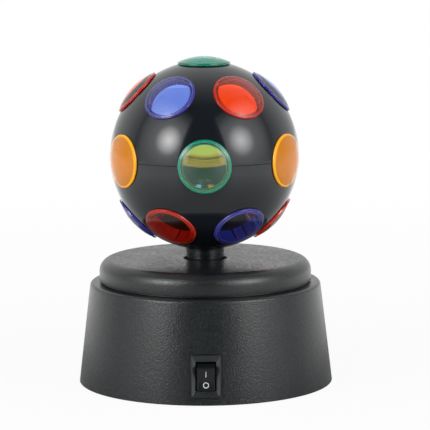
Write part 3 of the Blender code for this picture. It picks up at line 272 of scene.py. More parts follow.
def mouldedPlastic(name, look):
    material, tree, shader = newMaterial(name)
    coords = objectCoords(tree)
    grain = noise(tree, coords, look["grainScale"], detail=2.0)
    cloud = noise(tree, coords, look["cloudScale"], detail=4.0)
    colour = tintRamp(tree, cloud, look["dark"], look["light"])
    rough = spread(tree, cloud, look["roughLow"], look["roughHigh"])
    normal = bumpFrom(tree, cloud, look["waveStrength"], look["waveHeight"])
    if "paintedSparkle" in look:  # the tops of the grain are painted a little paler: a painted sparkle of light off the grain
        tops = spread(tree, grain, 0.0, 1.0, noiseTops)
        colour = mixColours(tree, tops, colour, (look["paintedSparkle"],) * 3, "ADD")
    if "peel" in look:  # slow unevenness between the grain, seen where the light grazes
        peel = noise(tree, coords, look["peelScale"], detail=1.0)
        normal = bumpFrom(tree, peel, 1.0, look["peel"], normal)
    if "patch" in look:  # rubbed patches where the face looks up
        facing = tree.nodes.new("ShaderNodeTexCoord").outputs["Normal"]
        upward = spread(tree, splitVector(tree, facing)["Z"], 0.0, 1.0, faceUp)
        patches = spread(tree, peel, -look["patch"], look["patch"])
        rough = mixMath(tree, "ADD", rough, mixMath(tree, "MULTIPLY", upward, patches))
    normal = bumpFrom(tree, grain, look["grainStrength"], look["grainHeight"], normal)
    feed(tree, shader.inputs["Base Color"], colour)
    feed(tree, shader.inputs["Roughness"], rough)
    feed(tree, shader.inputs["Normal"], normal)
    shader.inputs["IOR"].default_value = look["ior"]
    return material


coarseGrain = dict(grainScale=1100, grainStrength=1.0, grainHeight=0.00012,
                   cloudScale=60, waveStrength=0.1, waveHeight=0.0002)
polished = dict(grainScale=1500, grainHeight=0.00003,
                cloudScale=45, waveStrength=0.05, waveHeight=0.0002)
fineGrain = dict(grainScale=3200, grainStrength=0.25, grainHeight=0.00004,
                 cloudScale=120, waveStrength=0.05, waveHeight=0.0001)
plasticLooks = {
    "satinBlack": dict(coarseGrain, dark=(0.003, 0.0048, 0.0056), light=(0.006, 0.0084, 0.0094),
                       roughLow=0.27, roughHigh=0.32, paintedSparkle=0.016, peel=0.00005, peelScale=380,
                       ior=1.46),
    "coverBlack": dict(coarseGrain, dark=(0.002, 0.0033, 0.0038), light=(0.004, 0.006, 0.0066),
                       roughLow=0.31, roughHigh=0.37, paintedSparkle=0.009, peel=0.00007, peelScale=680,
                       patch=0.075, ior=1.53),
    "glossBlack": dict(polished, dark=(0.0045, 0.0062, 0.0085), light=(0.0070, 0.0092, 0.0125),
                       roughLow=0.10, roughHigh=0.13, grainStrength=0.04, ior=1.50),
    "neckBlack": dict(polished, dark=(0.0045, 0.0058, 0.0075), light=(0.0070, 0.0088, 0.0110),
                      roughLow=0.22, roughHigh=0.28, grainStrength=0.1, ior=1.42),
    # the inside of the shells is their black plastic painted a lighter grey: painted light inside
    # the ball, seen through the lenses
    "shellInsidePaintedLight": dict(polished, dark=(0.060, 0.060, 0.062), light=(0.085, 0.085, 0.088),
                        roughLow=0.50, roughHigh=0.62, grainStrength=0.3, grainHeight=0.00005,
                        ior=1.48),
    "frameBlack": dict(fineGrain, dark=(0.0095, 0.0122, 0.0142), light=(0.0130, 0.0160, 0.0182),
                       roughLow=0.28, roughHigh=0.36, ior=1.50),
    "rockerBlack": dict(fineGrain, dark=(0.0045, 0.0060, 0.0070), light=(0.0060, 0.0080, 0.0092),
                        roughLow=0.26, roughHigh=0.33, ior=1.40),
    "innerBlack": dict(dark=(0.024, 0.024, 0.026), light=(0.034, 0.034, 0.036),
                       roughLow=0.48, roughHigh=0.60,
                       grainScale=1800, grainStrength=0.5, grainHeight=0.00008,
                       cloudScale=50, waveStrength=0.1, waveHeight=0.0003, ior=1.48),
    "gearWhite": dict(dark=(0.72, 0.71, 0.66), light=(0.80, 0.79, 0.74),
                      roughLow=0.34, roughHigh=0.46,
                      grainScale=2400, grainStrength=0.2, grainHeight=0.00003,
                      cloudScale=90, waveStrength=0.05, waveHeight=0.0001, ior=1.50),
    "footRubber": dict(dark=(0.026, 0.026, 0.027), light=(0.042, 0.041, 0.040),
                       roughLow=0.74, roughHigh=0.92,
                       grainScale=1400, grainStrength=0.6, grainHeight=0.0001,
                       cloudScale=160, waveStrength=0.1, waveHeight=0.0002, ior=1.45),
    "boardGreen": dict(dark=(0.025, 0.12, 0.05), light=(0.045, 0.19, 0.08),
                       roughLow=0.36, roughHigh=0.50,
                       grainScale=1600, grainStrength=0.2, grainHeight=0.00003,
                       cloudScale=220, waveStrength=0.1, waveHeight=0.0001, ior=1.52),
    "cellWrap": dict(dark=(0.07, 0.16, 0.36), light=(0.10, 0.22, 0.46),
                     roughLow=0.26, roughHigh=0.40,
                     grainScale=1200, grainStrength=0.1, grainHeight=0.00003,
                     cloudScale=100, waveStrength=0.1, waveHeight=0.0002, ior=1.52),
    "wireRed": dict(dark=(0.46, 0.02, 0.015), light=(0.62, 0.035, 0.025),
                    roughLow=0.38, roughHigh=0.52,
                    grainScale=1800, grainStrength=0.2, grainHeight=0.00004,
                    cloudScale=150, waveStrength=0.1, waveHeight=0.0001, ior=1.50),
    "markGrey": dict(dark=(0.52, 0.52, 0.53), light=(0.62, 0.62, 0.63),
                     roughLow=0.45, roughHigh=0.60,
                     grainScale=5000, grainStrength=0.3, grainHeight=0.00002,
                     cloudScale=900, waveStrength=0.05, waveHeight=0.00005, ior=1.48),
}
plastics = {name: mouldedPlastic(name, look) for name, look in plasticLooks.items()}


# bare metal: fine drawn lines, with stains of tone and gloss
def brushedMetal(name, look):
    material, tree, shader = newMaterial(name)
    coords = objectCoords(tree)
    drawn = addNode(tree, "ShaderNodeMapping", {"Vector": coords, "Scale": look["stretch"]})
    lines = noise(tree, drawn.outputs["Vector"], look["lineScale"], detail=5.0)
    stains = noise(tree, coords, look["stainScale"], detail=4.0)
    feed(tree, shader.inputs["Base Color"], tintRamp(tree, stains, look["dark"], look["light"]))
    feed(tree, shader.inputs["Roughness"],
         spread(tree, stains, look["roughLow"], look["roughHigh"]))
    feed(tree, shader.inputs["Normal"],
         bumpFrom(tree, lines, look["lineStrength"], look["lineHeight"]))
    shader.inputs["Metallic"].default_value = 1.0
    return material


metalLooks = {
    "screwSteel": dict(dark=(0.48, 0.48, 0.49), light=(0.66, 0.66, 0.67),
                       roughLow=0.20, roughHigh=0.36, stretch=(1, 1, 12),
                       lineScale=900, lineStrength=0.25, lineHeight=0.00003, stainScale=300),
    "contactBrass": dict(dark=(0.60, 0.44, 0.20), light=(0.78, 0.60, 0.30),
                         roughLow=0.22, roughHigh=0.38, stretch=(1, 9, 1),
                         lineScale=800, lineStrength=0.2, lineHeight=0.00003, stainScale=200),
}
metals = {name: brushedMetal(name, look) for name, look in metalLooks.items()}

# where a lens changes its look, in its own coordinates: the rim outside rimStart, and the wall
# of its skirt, outside wallRadii and below wallHeights
lensZones = dict(rimFade=0.0008, wallRadii=(0.0103, 0.0106), wallHeights=(0.0465, 0.0469))


# a lens has its own tint and haze in the window, the rim and the skirt's wall; the rim's deeper
# colour is partly the plastic's own, seen through more of it, and partly painted light for the
# light carried round inside the plastic, and the wall's brighter, hazier colour is painted light
def lensTones(tree, shader, coords, look):
    across = vectorMath(tree, "LENGTH", vectorMath(tree, "MULTIPLY", coords, (1.0, 1.0, 0.0)))
    height = splitVector(tree, coords)["Z"]
    rim = spread(tree, across, 0.0, 1.0,
                 (look["rimStart"], look["rimStart"] + lensZones["rimFade"]))
    wall = mixMath(tree, "MULTIPLY", spread(tree, across, 0.0, 1.0, lensZones["wallRadii"]),
                   spread(tree, height, 1.0, 0.0, lensZones["wallHeights"]))
    tone = mixColours(tree, rim, look["tint"], look["rimTint"])
    tone = mixColours(tree, wall, tone, look["wallTint"])
    clear = spread(tree, rim, 1.0 - look["haze"], 1.0 - look["rimHaze"], (0.0, 1.0))
    lost = mixMath(tree, "SUBTRACT", clear, 1.0 - look["wallHaze"])
    clear = mixMath(tree, "SUBTRACT", clear, mixMath(tree, "MULTIPLY", wall, lost))
    feed(tree, shader.inputs["Base Color"], tone)
    feed(tree, shader.inputs["Transmission Weight"], clear)


# clear coloured plastic: haze gives it a body of its own colour, the rest is in its depth
def clearPlastic(name, look):
    material, tree, shader = newMaterial(name)
    coords = objectCoords(tree)
    flow = noise(tree, coords, look["flowScale"], detail=2.0)
    dust = noise(tree, coords, look["dustScale"], detail=2.0)
    if "rimTint" in look:
        lensTones(tree, shader, coords, look)
    else:  # one look all over
        shader.inputs["Base Color"].default_value = (*look["tint"], 1.0)
        shader.inputs["Transmission Weight"].default_value = 1.0 - look["haze"]
    shader.inputs["IOR"].default_value = look["ior"]
    shader.inputs["Specular IOR Level"].default_value = look["gloss"]
    feed(tree, shader.inputs["Roughness"],
         spread(tree, dust, look["roughLow"], look["roughHigh"], noiseTops))
    feed(tree, shader.inputs["Normal"],
         bumpFrom(tree, flow, look["flowStrength"], look["flowHeight"]))
    depth = tree.nodes.new("ShaderNodeVolumeAbsorption")
    depth.inputs["Color"].default_value = (*look["depthColor"], 1.0)
    depth.inputs["Density"].default_value = look["density"]
    tree.links.new(depth.outputs["Volume"], tree.nodes["Material Output"].inputs["Volume"])
    return material


clearCommon = dict(roughLow=0.0, dustScale=2200, flowHeight=0.0003)
lensCommon = dict(clearCommon, ior=1.49, roughHigh=0.06, flowScale=90, flowStrength=0.06,
                  rimStart=0.0121)
tealDepth = dict(depthColor=(0.20, 0.95, 0.80), density=50)
amberDepth = dict(depthColor=(1.0, 0.75, 0.35), density=50)
clearLooks = {
    "lensRed": dict(lensCommon, tint=(1.0, 0.26, 0.09), rimTint=(0.80, 0.03, 0.015),
                    wallTint=(1.0, 0.22, 0.12), gloss=0.5, haze=0.0, rimHaze=0.40, wallHaze=0.75,
                    depthColor=(1.0, 0.60, 0.40), density=60),
    "lensBlue": dict(lensCommon, tint=(0.44, 0.56, 0.90), rimTint=(0.07, 0.055, 0.42),
                     wallTint=(0.36, 0.34, 0.95), gloss=0.5, haze=0.0, rimHaze=0.45, wallHaze=0.75,
                     depthColor=(0.30, 0.40, 0.97), density=60),
    "lensGreen": dict(lensCommon, **tealDepth, rimStart=0.0119, tint=(0.38, 0.76, 0.56),
                      rimTint=(0.0, 0.40, 0.25), wallTint=(0.10, 0.70, 0.50), gloss=0.36,
                      haze=0.05, rimHaze=0.45, wallHaze=0.60),
    "lensTeal": dict(lensCommon, **tealDepth, tint=(0.05, 0.62, 0.47), rimTint=(0.0, 0.26, 0.17),
                     wallTint=(0.10, 0.70, 0.50), gloss=0.45, haze=0.28, rimHaze=0.45,
                     wallHaze=0.60),
    "lensAmber": dict(lensCommon, **amberDepth, tint=(1.0, 0.37, 0.012),
                      rimTint=(1.0, 0.45, 0.012), wallTint=(1.0, 0.38, 0.03), gloss=0.20,
                      haze=0.42, rimHaze=0.90, wallHaze=0.12),
    "lensPale": dict(lensCommon, **amberDepth, tint=(1.0, 0.55, 0.11), rimTint=(1.0, 0.42, 0.02),
                     wallTint=(1.0, 0.20, 0.01), gloss=0.40, haze=0.03, rimHaze=0.50,
                     wallHaze=0.10),
    "ledClear": dict(clearCommon, tint=(0.96, 0.97, 0.97), gloss=0.5, haze=0.05, ior=1.50,
                     depthColor=(0.9, 0.95, 0.95), density=10,
                     roughHigh=0.05, flowScale=400, flowStrength=0.05),
}
clears = {name: clearPlastic(name, look) for name, look in clearLooks.items()}
print("materials made:", len(plastics) + len(metals) + len(clears))


# base: wall with its shoulder, window for the switch, and the screw posts inside
base = dict(bottomRadius=0.0650, topRadius=0.0593, shoulder=0.0520, shoulderRounding=0.0018,
            shoulderSteps=10, wall=0.0022, rimLift=0.0005, rimRounding=0.0004, rimSteps=4,
            shoulderHole=0.0450, steps=192,
            bossRadius=0.0038, bossLow=0.0046, bossHigh=0.0226, bossCircle=0.058204, bossCount=3,
            bossSteps=32, screwHole=0.0016, screwHoleTop=0.0140,
            windowFront=0.004, windowBack=0.008)  # how far the cuts reach out and in
baseSlope = math.atan((base["bottomRadius"] - base["topRadius"])
                      / (base["shoulder"] - base["rimLift"]))  # radians


def wallRadius(height):
    share = (height - base["rimLift"]) / (base["shoulder"] - base["rimLift"])
    return base["bottomRadius"] + share * (base["topRadius"] - base["bottomRadius"])


def housingProfile():
    wallAcross = base["wall"] / math.cos(baseSlope)
    shoulder, rounding, rim = base["shoulder"], base["shoulderRounding"], base["rimRounding"]
    edge = base["topRadius"] - rounding * math.tan(baseSlope) - rounding
    ledge = shoulder - base["wall"]
    low = base["rimLift"] + rim
    profile = [(base["shoulderHole"], shoulder)]
    profile += arcPoints(edge, shoulder - rounding, rounding, 90, math.degrees(baseSlope),
                         base["shoulderSteps"])
    profile += [(wallRadius(low), low)]
    profile += arcPoints(base["bottomRadius"] - rim, low, rim, 0, -90, base["rimSteps"])[1:]
    profile += [(base["bottomRadius"] - wallAcross, base["rimLift"]),
                (wallRadius(ledge) - wallAcross, ledge), (base["shoulderHole"], ledge)]
    return profile


def makeHousing():
    mesh = turned("housingWall", housingProfile(), base["steps"], closed=True)
    front = -base["windowFront"]
    for width, length, back in ((switch["bezelWidth"], switch["bezelLength"], seatDepth),
                                (switch["bodyWidth"], switch["bodyLength"], base["windowBack"])):
        halfX, halfZ = width / 2 + fitGap, length / 2 + fitGap
        window = bmesh.new()
        boxInto(window, (-halfX, front, -halfZ), (halfX, back, halfZ))
        cutter = finishMesh(window, "windowTool")
        cutter.transform(switchSeat)
        mesh = cutMesh(mesh, cutter)
    bm = bmesh.new()
    bm.from_mesh(mesh)
    outline = [(base["screwHole"], base["screwHoleTop"]), (base["screwHole"], base["bossLow"]),
               (base["bossRadius"], base["bossLow"]), (base["bossRadius"], base["bossHigh"]),
               (0.0, base["bossHigh"])]
    for k in range(base["bossCount"]):
        bearing = math.radians(90 + 360 * k / base["bossCount"])
        spot = (base["bossCircle"] * math.cos(bearing), base["bossCircle"] * math.sin(bearing))
        spinInto(bm, outline, base["bossSteps"], centre=spot)
    mesh = finishMesh(bm, "housingWall")
    housing = addPiece("housing_shell", mesh, "base", plastics["satinBlack"])
    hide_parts("base_housing")


# cover: turned, with the groove at its foot and a rounded hole for the neck
cover = dict(radius=0.0542, top=0.0639, rounding=0.0061, roundingSteps=18, wall=0.0020,
             ceilingSteps=8, grooveHeight=0.0010, grooveDepth=0.0010, grooveRounding=0.0002,
             grooveSteps=3, neckHole=0.0112, holeRounding=0.0005, holeSteps=5,
             bossWall=0.0020, bossLow=0.0582, steps=192)


def makeCover():
    rounding, hole, lip = cover["rounding"], cover["holeRounding"], cover["grooveRounding"]
    ceiling = cover["top"] - cover["wall"]
    foot = base["shoulder"] + fitGap
    footRadius = cover["radius"] - cover["grooveDepth"]
    innerRadius = footRadius - cover["wall"]
    innerRounding = rounding - cover["wall"] + cover["grooveDepth"]
    bossRadius = cover["neckHole"] + cover["bossWall"]
    grooveTop = base["shoulder"] + cover["grooveHeight"]
    profile = arcPoints(cover["neckHole"] + hole, cover["top"] - hole, hole, 180, 90,
                        cover["holeSteps"])
    profile += arcPoints(cover["radius"] - rounding, cover["top"] - rounding, rounding, 90, 0,
                         cover["roundingSteps"])
    profile += arcPoints(cover["radius"] - lip, grooveTop + lip, lip, 0, -90,
                         cover["grooveSteps"])
    profile += [(footRadius, grooveTop), (footRadius, foot), (innerRadius, foot)]
    profile += arcPoints(innerRadius - innerRounding, ceiling - innerRounding, innerRounding,
                         0, 90, cover["ceilingSteps"])
    profile += [(bossRadius, ceiling), (bossRadius, cover["bossLow"]),
                (cover["neckHole"], cover["bossLow"])]
    mesh = turned("coverShell", profile, cover["steps"], closed=True)
    piece = addPiece("cover_shell", mesh, "base", plastics["coverBlack"])
    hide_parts("top_cover")


# ball: two glossy half shells with a hole for each lens
ball = dict(radius=0.04825, centre=0.1168, wall=0.0020, seamGap=0.00016, seamRounding=0.00014,
            seamSteps=4, lipHeight=0.0025, lipWall=0.0012, lipFoot=3.4,  # degrees below the seam
            steps=192, arcSteps=56, innerSteps=30)
skin = dict(depth=0.0004, play=0.00002, slant=0.9)  # what counts as the ball's outer face


def shellProfile(lower):
    radius, inner, soft = ball["radius"], ball["radius"] - ball["wall"], ball["seamRounding"]
    seam = ball["seamGap"] / 2
    softAngle = math.degrees((seam + soft) / radius)
    if not lower:
        profile = arcPoints(0, 0, radius, 90, softAngle, ball["arcSteps"])
        profile[0] = (0.0, radius)
        profile += arcPoints(profile[-1][0] - soft, seam + soft, soft, 0, -90,
                             ball["seamSteps"])[1:]
        back = arcPoints(0, 0, inner, math.degrees(seam / inner), 90, ball["innerSteps"])
        back[-1] = (0.0, inner)
        return profile + back
    opening = neck["spigotRadius"] + fitGap
    lipOuter = inner - 2 * fitGap
    lipInner = lipOuter - ball["lipWall"]
    outerEnd = -math.degrees(math.acos(opening / radius))
    innerEnd = -math.degrees(math.acos(opening / inner))
    profile = [(lipInner, ball["lipHeight"]), (lipOuter, ball["lipHeight"]), (lipOuter, -seam)]
    side = arcPoints(0, 0, radius, -softAngle, outerEnd, ball["arcSteps"])
    profile += arcPoints(side[0][0] - soft, -seam - soft, soft, 90, 0, ball["seamSteps"])
    profile += side[1:]
    profile += arcPoints(0, 0, inner, innerEnd, -ball["lipFoot"], ball["innerSteps"])
    profile += [(lipInner, -ball["lipHeight"])]
    return profile


# the outer skin gets a true sphere's normals, so its reflections stay clean round the holes
def roundNormals(mesh):
    normals = []
    corners = [Vector(corner.vector) for corner in mesh.corner_normals]
    for face in mesh.polygons:
        for index in face.loop_indices:
            spot = mesh.vertices[mesh.loops[index].vertex_index].co
            outward = spot.normalized()
            onSkin = (spot.length > ball["radius"] - skin["play"]
                      and face.normal.dot(outward) > skin["slant"])
            normals.append(outward if onSkin else corners[index])
    mesh.normals_split_custom_set(normals)


def outwardTurn(latitude, longitude):
    turn = Euler((math.radians(90 - latitude), 0.0, math.radians(longitude)))
    return turn.to_matrix().to_4x4()


def makeShells():
    plug = bmesh.new()
    low, high, radius = lens["plugLow"], lens["plugHigh"], lens["holeRadius"]
    outline = [(0.0, low), (radius, low), (radius, high), (0.0, high)]
    for row in lensRows:
        one = turned("plug", outline, lens["plugSteps"])
        one.transform(outwardTurn(row["latitude"], row["longitude"]))
        plug.from_mesh(one)
        bpy.data.meshes.remove(one)
    plugs = finishMesh(plug, "lensPlugs")
    for name, node, lower in (("ball_top_half", "ball_upper_shell", False),
                              ("ball_bottom_half", "ball_lower_shell", True)):
        mesh = turned(name, shellProfile(lower), ball["steps"], closed=lower)
        mesh = cutMesh(mesh, plugs)
        roundNormals(mesh)
        place = Matrix.Translation((0.0, 0.0, ball["centre"]))
        piece = addPiece(name, mesh, "ball", plastics["glossBlack"], place)
        # the faces inside the ball take that grey with the painted light in it
        mesh.materials.append(plastics["shellInsidePaintedLight"])
        for face in mesh.polygons:
            face.material_index = 1 if face.center.length < ball["radius"] - skin["depth"] else 0
        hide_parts(node)


# lenses: thick domed caps with a slotted skirt, one mesh for each colour
lens = dict(radius=0.0134, rise=0.00305, domeSteps=26, edgeHeight=0.0008,
            edgeRounding=0.00035, edgeStart=60, edgeSteps=4,
            seatLand=0.0001, seatLift=0.00005,  # chamfer where the rim meets the ball
            skirtRadius=0.0120, skirtLength=0.0054, skirtWall=0.0012, skirtRounding=0.00025,
            skirtSteps=3, middleThickness=0.0031, insideRadius=0.055, insideSteps=14,
            holeRadius=0.01235,
            plugLow=0.036, plugHigh=0.056, plugSteps=72,  # tool that cuts the ball's holes
            tongues=3, tongueHalf=0.0026, slotWidth=0.0007, slotDepth=0.0030, slotSpare=0.001,
            sharpAngle=40, steps=96)
redLens, blueLens = ("lensRed", "lens_red"), ("lensBlue", "lens_blue")  # look and slot
greenLens, tealLens = ("lensGreen", "lens_green"), ("lensTeal", "lens_green")
amberLens, paleLens = ("lensAmber", "lens_amber"), ("lensPale", "lens_amber")
rings = dict(upper=dict(latitude=43.5, start=-90, extraRoll=0, colours=(redLens, blueLens) * 3),
             lower=dict(latitude=-43.5, start=-90, extraRoll=60, colours=(blueLens, redLens) * 3),
             equator=dict(latitude=0.0, start=-60, extraRoll=120,
                          colours=(amberLens, greenLens, amberLens, amberLens, paleLens,
                                   amberLens)))
ringRolls = (0, -30, 0, 45, 80, 150)  # how each lens happens to be turned in its hole
lensRows = [dict(node="lens_top", colour=tealLens, latitude=90.0, longitude=0.0, roll=0.0)]
for k, ringRoll in enumerate(ringRolls):
    for name, ring in rings.items():
        lensRows.append(dict(node=f"lens_{name}_{k + 1}", colour=ring["colours"][k],
                             latitude=ring["latitude"], longitude=ring["start"] + 60 * k,
                             roll=ringRoll + ring["extraRoll"]))


def lensProfile(inside, seat, underRim, foot):
    rimTop = seat + lens["edgeHeight"]
    top = rimTop + lens["rise"]
    domeRadius = (lens["radius"] ** 2 + lens["rise"] ** 2) / (2 * lens["rise"])
    soft, small = lens["edgeRounding"], lens["skirtRounding"]
    edgeAngle = math.degrees(math.acos((lens["radius"] - soft) / domeRadius))
    profile = arcPoints(0, top - domeRadius, domeRadius, 90, edgeAngle, lens["domeSteps"])
    profile[0] = (0.0, top)
    shoulder = profile[-1]
    profile += arcPoints(shoulder[0], shoulder[1] - soft, soft, lens["edgeStart"], 0,
                         lens["edgeSteps"])
    profile += [(lens["radius"], seat + lens["seatLift"]),
                (lens["radius"] - lens["seatLand"], seat), (lens["skirtRadius"], underRim)]
    profile += arcPoints(lens["skirtRadius"] - small, foot + small, small, 0, -90,
                         lens["skirtSteps"])
    profile += arcPoints(inside + small, foot + small, small, -90, -180, lens["skirtSteps"])
    backTop = top - lens["middleThickness"]
    backAngle = math.degrees(math.acos(inside / lens["insideRadius"]))
    back = arcPoints(0, backTop - lens["insideRadius"], lens["insideRadius"], backAngle, 90,
                     lens["insideSteps"])
    back[-1] = (0.0, backTop)
    return profile + back


def lensMesh():
    seatSphere = (ball["radius"] + fitGap) ** 2
    seat = math.sqrt(seatSphere - lens["radius"] ** 2)
    underRim = math.sqrt(seatSphere - lens["skirtRadius"] ** 2)
    foot = underRim - lens["skirtLength"]
    inside = lens["skirtRadius"] - lens["skirtWall"]
    mesh = turned("lensCap", lensProfile(inside, seat, underRim, foot), lens["steps"],
                  sharpAngle=lens["sharpAngle"])
    slots = bmesh.new()
    half, spare = lens["slotWidth"] / 2, lens["slotSpare"]
    for k in range(lens["tongues"]):
        for side in (-1, 1):
            middle = 2 * math.pi * k / lens["tongues"]
            bearing = middle + side * lens["tongueHalf"] / lens["skirtRadius"]
            one = bmesh.new()
            boxInto(one, (inside - spare, -half, foot - spare),
                    (lens["skirtRadius"] + spare, half, foot + lens["slotDepth"]))
            one.transform(Matrix.Rotation(bearing, 4, "Z"))
            cutter = finishMesh(one, "slot")
            slots.from_mesh(cutter)
            bpy.data.meshes.remove(cutter)
    return cutMesh(mesh, finishMesh(slots, "slots"), lens["sharpAngle"])


def makeLenses():
    cap = lensMesh()
    caps = {}
    for row in lensRows:
        look, slotName = row["colour"]
        if look not in caps:
            caps[look] = cap.copy()
        turn = outwardTurn(row["latitude"], row["longitude"])
        place = Matrix.Translation((0.0, 0.0, ball["centre"])) @ turn
        place @= Matrix.Rotation(math.radians(row["roll"]), 4, "Z")
        name = row["node"].replace("lens", "lens_cap")
        piece = addPiece(name, caps[look], "ball", clears[look], place)
        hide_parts(row["node"])


# neck: collar with two lips under the ball, and the tube that goes into the cover
neck = dict(collarRadius=0.01005, collarHeight=0.0036, lip=0.0007, lipRounding=0.00018,
            lipSteps=3, grooveDepth=0.00035, radius=0.0093, bore=0.0070, bottom=0.0506,
            spigotRadius=0.0087, spigotLength=0.0035, sharpAngle=30, steps=96)


def makeNeck():
    radius, lip, soft = neck["collarRadius"], neck["lip"], neck["lipRounding"]
    seat = ball["centre"] - math.sqrt(ball["radius"] ** 2 - radius ** 2) - fitGap
    top, low = seat + neck["spigotLength"], seat - neck["collarHeight"]
    groove, edge, steps = radius - neck["grooveDepth"], radius - soft, neck["lipSteps"]
    profile = [(neck["bore"], top), (neck["spigotRadius"], top), (neck["spigotRadius"], seat)]
    profile += arcPoints(edge, seat - soft, soft, 90, 0, steps)
    profile += arcPoints(edge, seat - lip + soft, soft, 0, -90, steps)
    profile += [(groove, seat - lip - soft), (groove, low + lip + soft)]
    profile += arcPoints(edge, low + lip - soft, soft, 90, 0, steps)
    profile += arcPoints(edge, low + soft, soft, 0, -90, steps)
    profile += [(neck["radius"], low), (neck["radius"], neck["bottom"]),
                (neck["bore"], neck["bottom"])]
    mesh = turned("neckTube", profile, neck["steps"], closed=True, sharpAngle=neck["sharpAngle"])
    piece = addPiece("neck_tube", mesh, "ball", plastics["neckBlack"])
    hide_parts("ball_neck")


# switch: frame that slopes in to its window, with the rocker in it; its own y goes inwards
switch = dict(height=0.0150536, bezelWidth=0.0150, bezelLength=0.0210, bezelThickness=0.0017,
              windowWidth=0.0101, windowRounding=0.0003, bodyWidth=0.0126, bodyLength=0.0186,
              bodyDepth=0.0110, cavityDepth=0.0085, windowLip=0.00080,
              slopeFoot=0.00064, slopeInset=0.00012, slopeRounding=0.0004,
              cornerRounding=0.0008, sharpAngle=28)
frameSteps = ((0.00085, 0.0006, 0.00012), (0.00065, 0.0006, 0.0), (0.00040, 0.0006, 0.0),
              (0.00012, 0.0007, 0.00012), (0.0, 0.0008, 0.00040))  # inset, rounding, depth
rocker = dict(width=0.0088, length=0.0112, tipHeight=0.0021, dip=0.0012, dipPower=1.35,
              pivotDepth=0.0045, heel=0.0026, travel=12.0, faceSteps=16,
              edgeRounding=0.0003, edgeSteps=3, edgeAngle=50)

switchSeat = Matrix.Translation((0.0, -wallRadius(switch["height"]), switch["height"]))
switchSeat @= Matrix.Rotation(-baseSlope, 4, "X")
seatDepth = (switch["bezelWidth"] / 2) ** 2 / (2 * wallRadius(switch["height"])) + fitGap / 2
bezelBack = seatDepth - fitGap
bezelFront = bezelBack - switch["bezelThickness"]

rockerTip = rocker["length"] / 2
rockerReach = rocker["pivotDepth"] + rocker["tipHeight"]  # from the pin to the tip's face
rockerTilt = math.radians(rocker["travel"])
rockerSwing = (math.hypot(rockerTip, rockerReach)
               * math.cos(math.atan2(rockerReach, rockerTip) - rockerTilt))
rockerPlace = switchSeat @ Matrix.Translation((0.0, bezelFront + rocker["pivotDepth"], 0.0))
rockerPlace @= Matrix.Rotation(rockerTilt, 4, "X")


def makeSwitch():
    halfX, halfZ = switch["bezelWidth"] / 2, switch["bezelLength"] / 2
    windowX, windowZ = switch["windowWidth"] / 2, rockerSwing + fitGap
    coreX, coreZ = switch["bodyWidth"] / 2, switch["bodyLength"] / 2
    small, inset = switch["windowRounding"], switch["slopeInset"]
    loops = [roundedRect(windowX, windowZ, small, bezelFront + switch["cavityDepth"]),
             roundedRect(windowX, windowZ, small, bezelFront + switch["windowLip"]),
             roundedRect(windowX + inset, windowZ + inset, switch["slopeRounding"],
                         bezelFront + switch["slopeFoot"])]
    for step, rounding, depth in frameSteps:
        loops.append(roundedRect(halfX - step, halfZ - step, rounding, bezelFront + depth))
    loops += [roundedRect(halfX, halfZ, switch["cornerRounding"], bezelBack),
              roundedRect(coreX, coreZ, small, bezelBack),
              roundedRect(coreX, coreZ, small, switch["bodyDepth"])]
    mesh = loftLoops("switchFrame", loops, switch["sharpAngle"])
    piece = addPiece("switch_frame", mesh, "base", plastics["frameBlack"],
                     switchSeat)
    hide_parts("switch_body")


def rockerFace(height):
    share = abs(height) / rockerTip
    return -(rockerReach - rocker["dip"] * (1 - share ** rocker["dipPower"]))


def makeRocker():
    waist, end = rockerSwing * math.sin(rockerTilt), rockerSwing * math.cos(rockerTilt)
    heel, tip, steps = rocker["heel"], rockerTip, rocker["faceSteps"]
    side = [(rockerFace(z), z) for z in (tip - 2 * tip * k / steps for k in range(steps + 1))]
    side += [(-waist, -end), (waist, -end), (heel, -tip / 2), (heel, tip / 2), (waist, end),
             (-waist, end)]
    bm = bmesh.new()
    half = rocker["width"] / 2
    left = [bm.verts.new((-half, y, z)) for y, z in side]
    right = [bm.verts.new((half, y, z)) for y, z in side]
    for k in range(len(side)):
        n = (k + 1) % len(side)
        bm.faces.new((left[k], left[n], right[n], right[k]))
    bm.faces.new(left)
    bm.faces.new(right)
    mesh = bevelMesh(finishMesh(bm, "rockerBar"), rocker["edgeRounding"], rocker["edgeSteps"],
                     rocker["edgeAngle"])
    piece = addPiece("rocker_bar", mesh, "rocker", plastics["rockerBlack"],
                     rockerPlace)
    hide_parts("switch_rocker")


# pad-printed marks: a bar on the upper half, a ring on the half that is pressed in
marks = dict(height=0.00003, barHalfWidth=0.00017, barLow=0.00085, barHigh=0.00395, barSteps=8,
             ringMiddle=-0.0031, ringRadius=0.00126, ringHalfWidth=0.00018, ringSteps=48)


def onRocker(bm, x, z):
    return bm.verts.new((x, rockerFace(z) - marks["height"], z))


def makeMarks():
    bm = bmesh.new()
    rows = []
    for k in range(marks["barSteps"] + 1):
        z = marks["barLow"] + (marks["barHigh"] - marks["barLow"]) * k / marks["barSteps"]
        rows.append([onRocker(bm, side * marks["barHalfWidth"], z) for side in (-1, 1)])
    for low, high in zip(rows, rows[1:]):
        bm.faces.new((low[0], high[0], high[1], low[1]))
    addPiece("mark_bar", plainMesh(bm, "barMark"), "rocker",
             plastics["markGrey"], rockerPlace)
    bm = bmesh.new()
    edges = []
    for side in (-1, 1):
        radius = marks["ringRadius"] + side * marks["ringHalfWidth"]
        angles = [2 * math.pi * k / marks["ringSteps"] for k in range(marks["ringSteps"])]
        edges.append([onRocker(bm, radius * math.cos(angle),
                               marks["ringMiddle"] + radius * math.sin(angle))
                      for angle in angles])
    for k in range(marks["ringSteps"]):
        n = (k + 1) % marks["ringSteps"]
        bm.faces.new((edges[0][k], edges[0][n], edges[1][n], edges[1][k]))
    addPiece("mark_ring", plainMesh(bm, "ringMark"), "rocker",
             plastics["markGrey"], rockerPlace)


# solids that stay as they are get their finish
def numbered(name, count):
    return [f"{name}_{k + 1}" for k in range(count)]


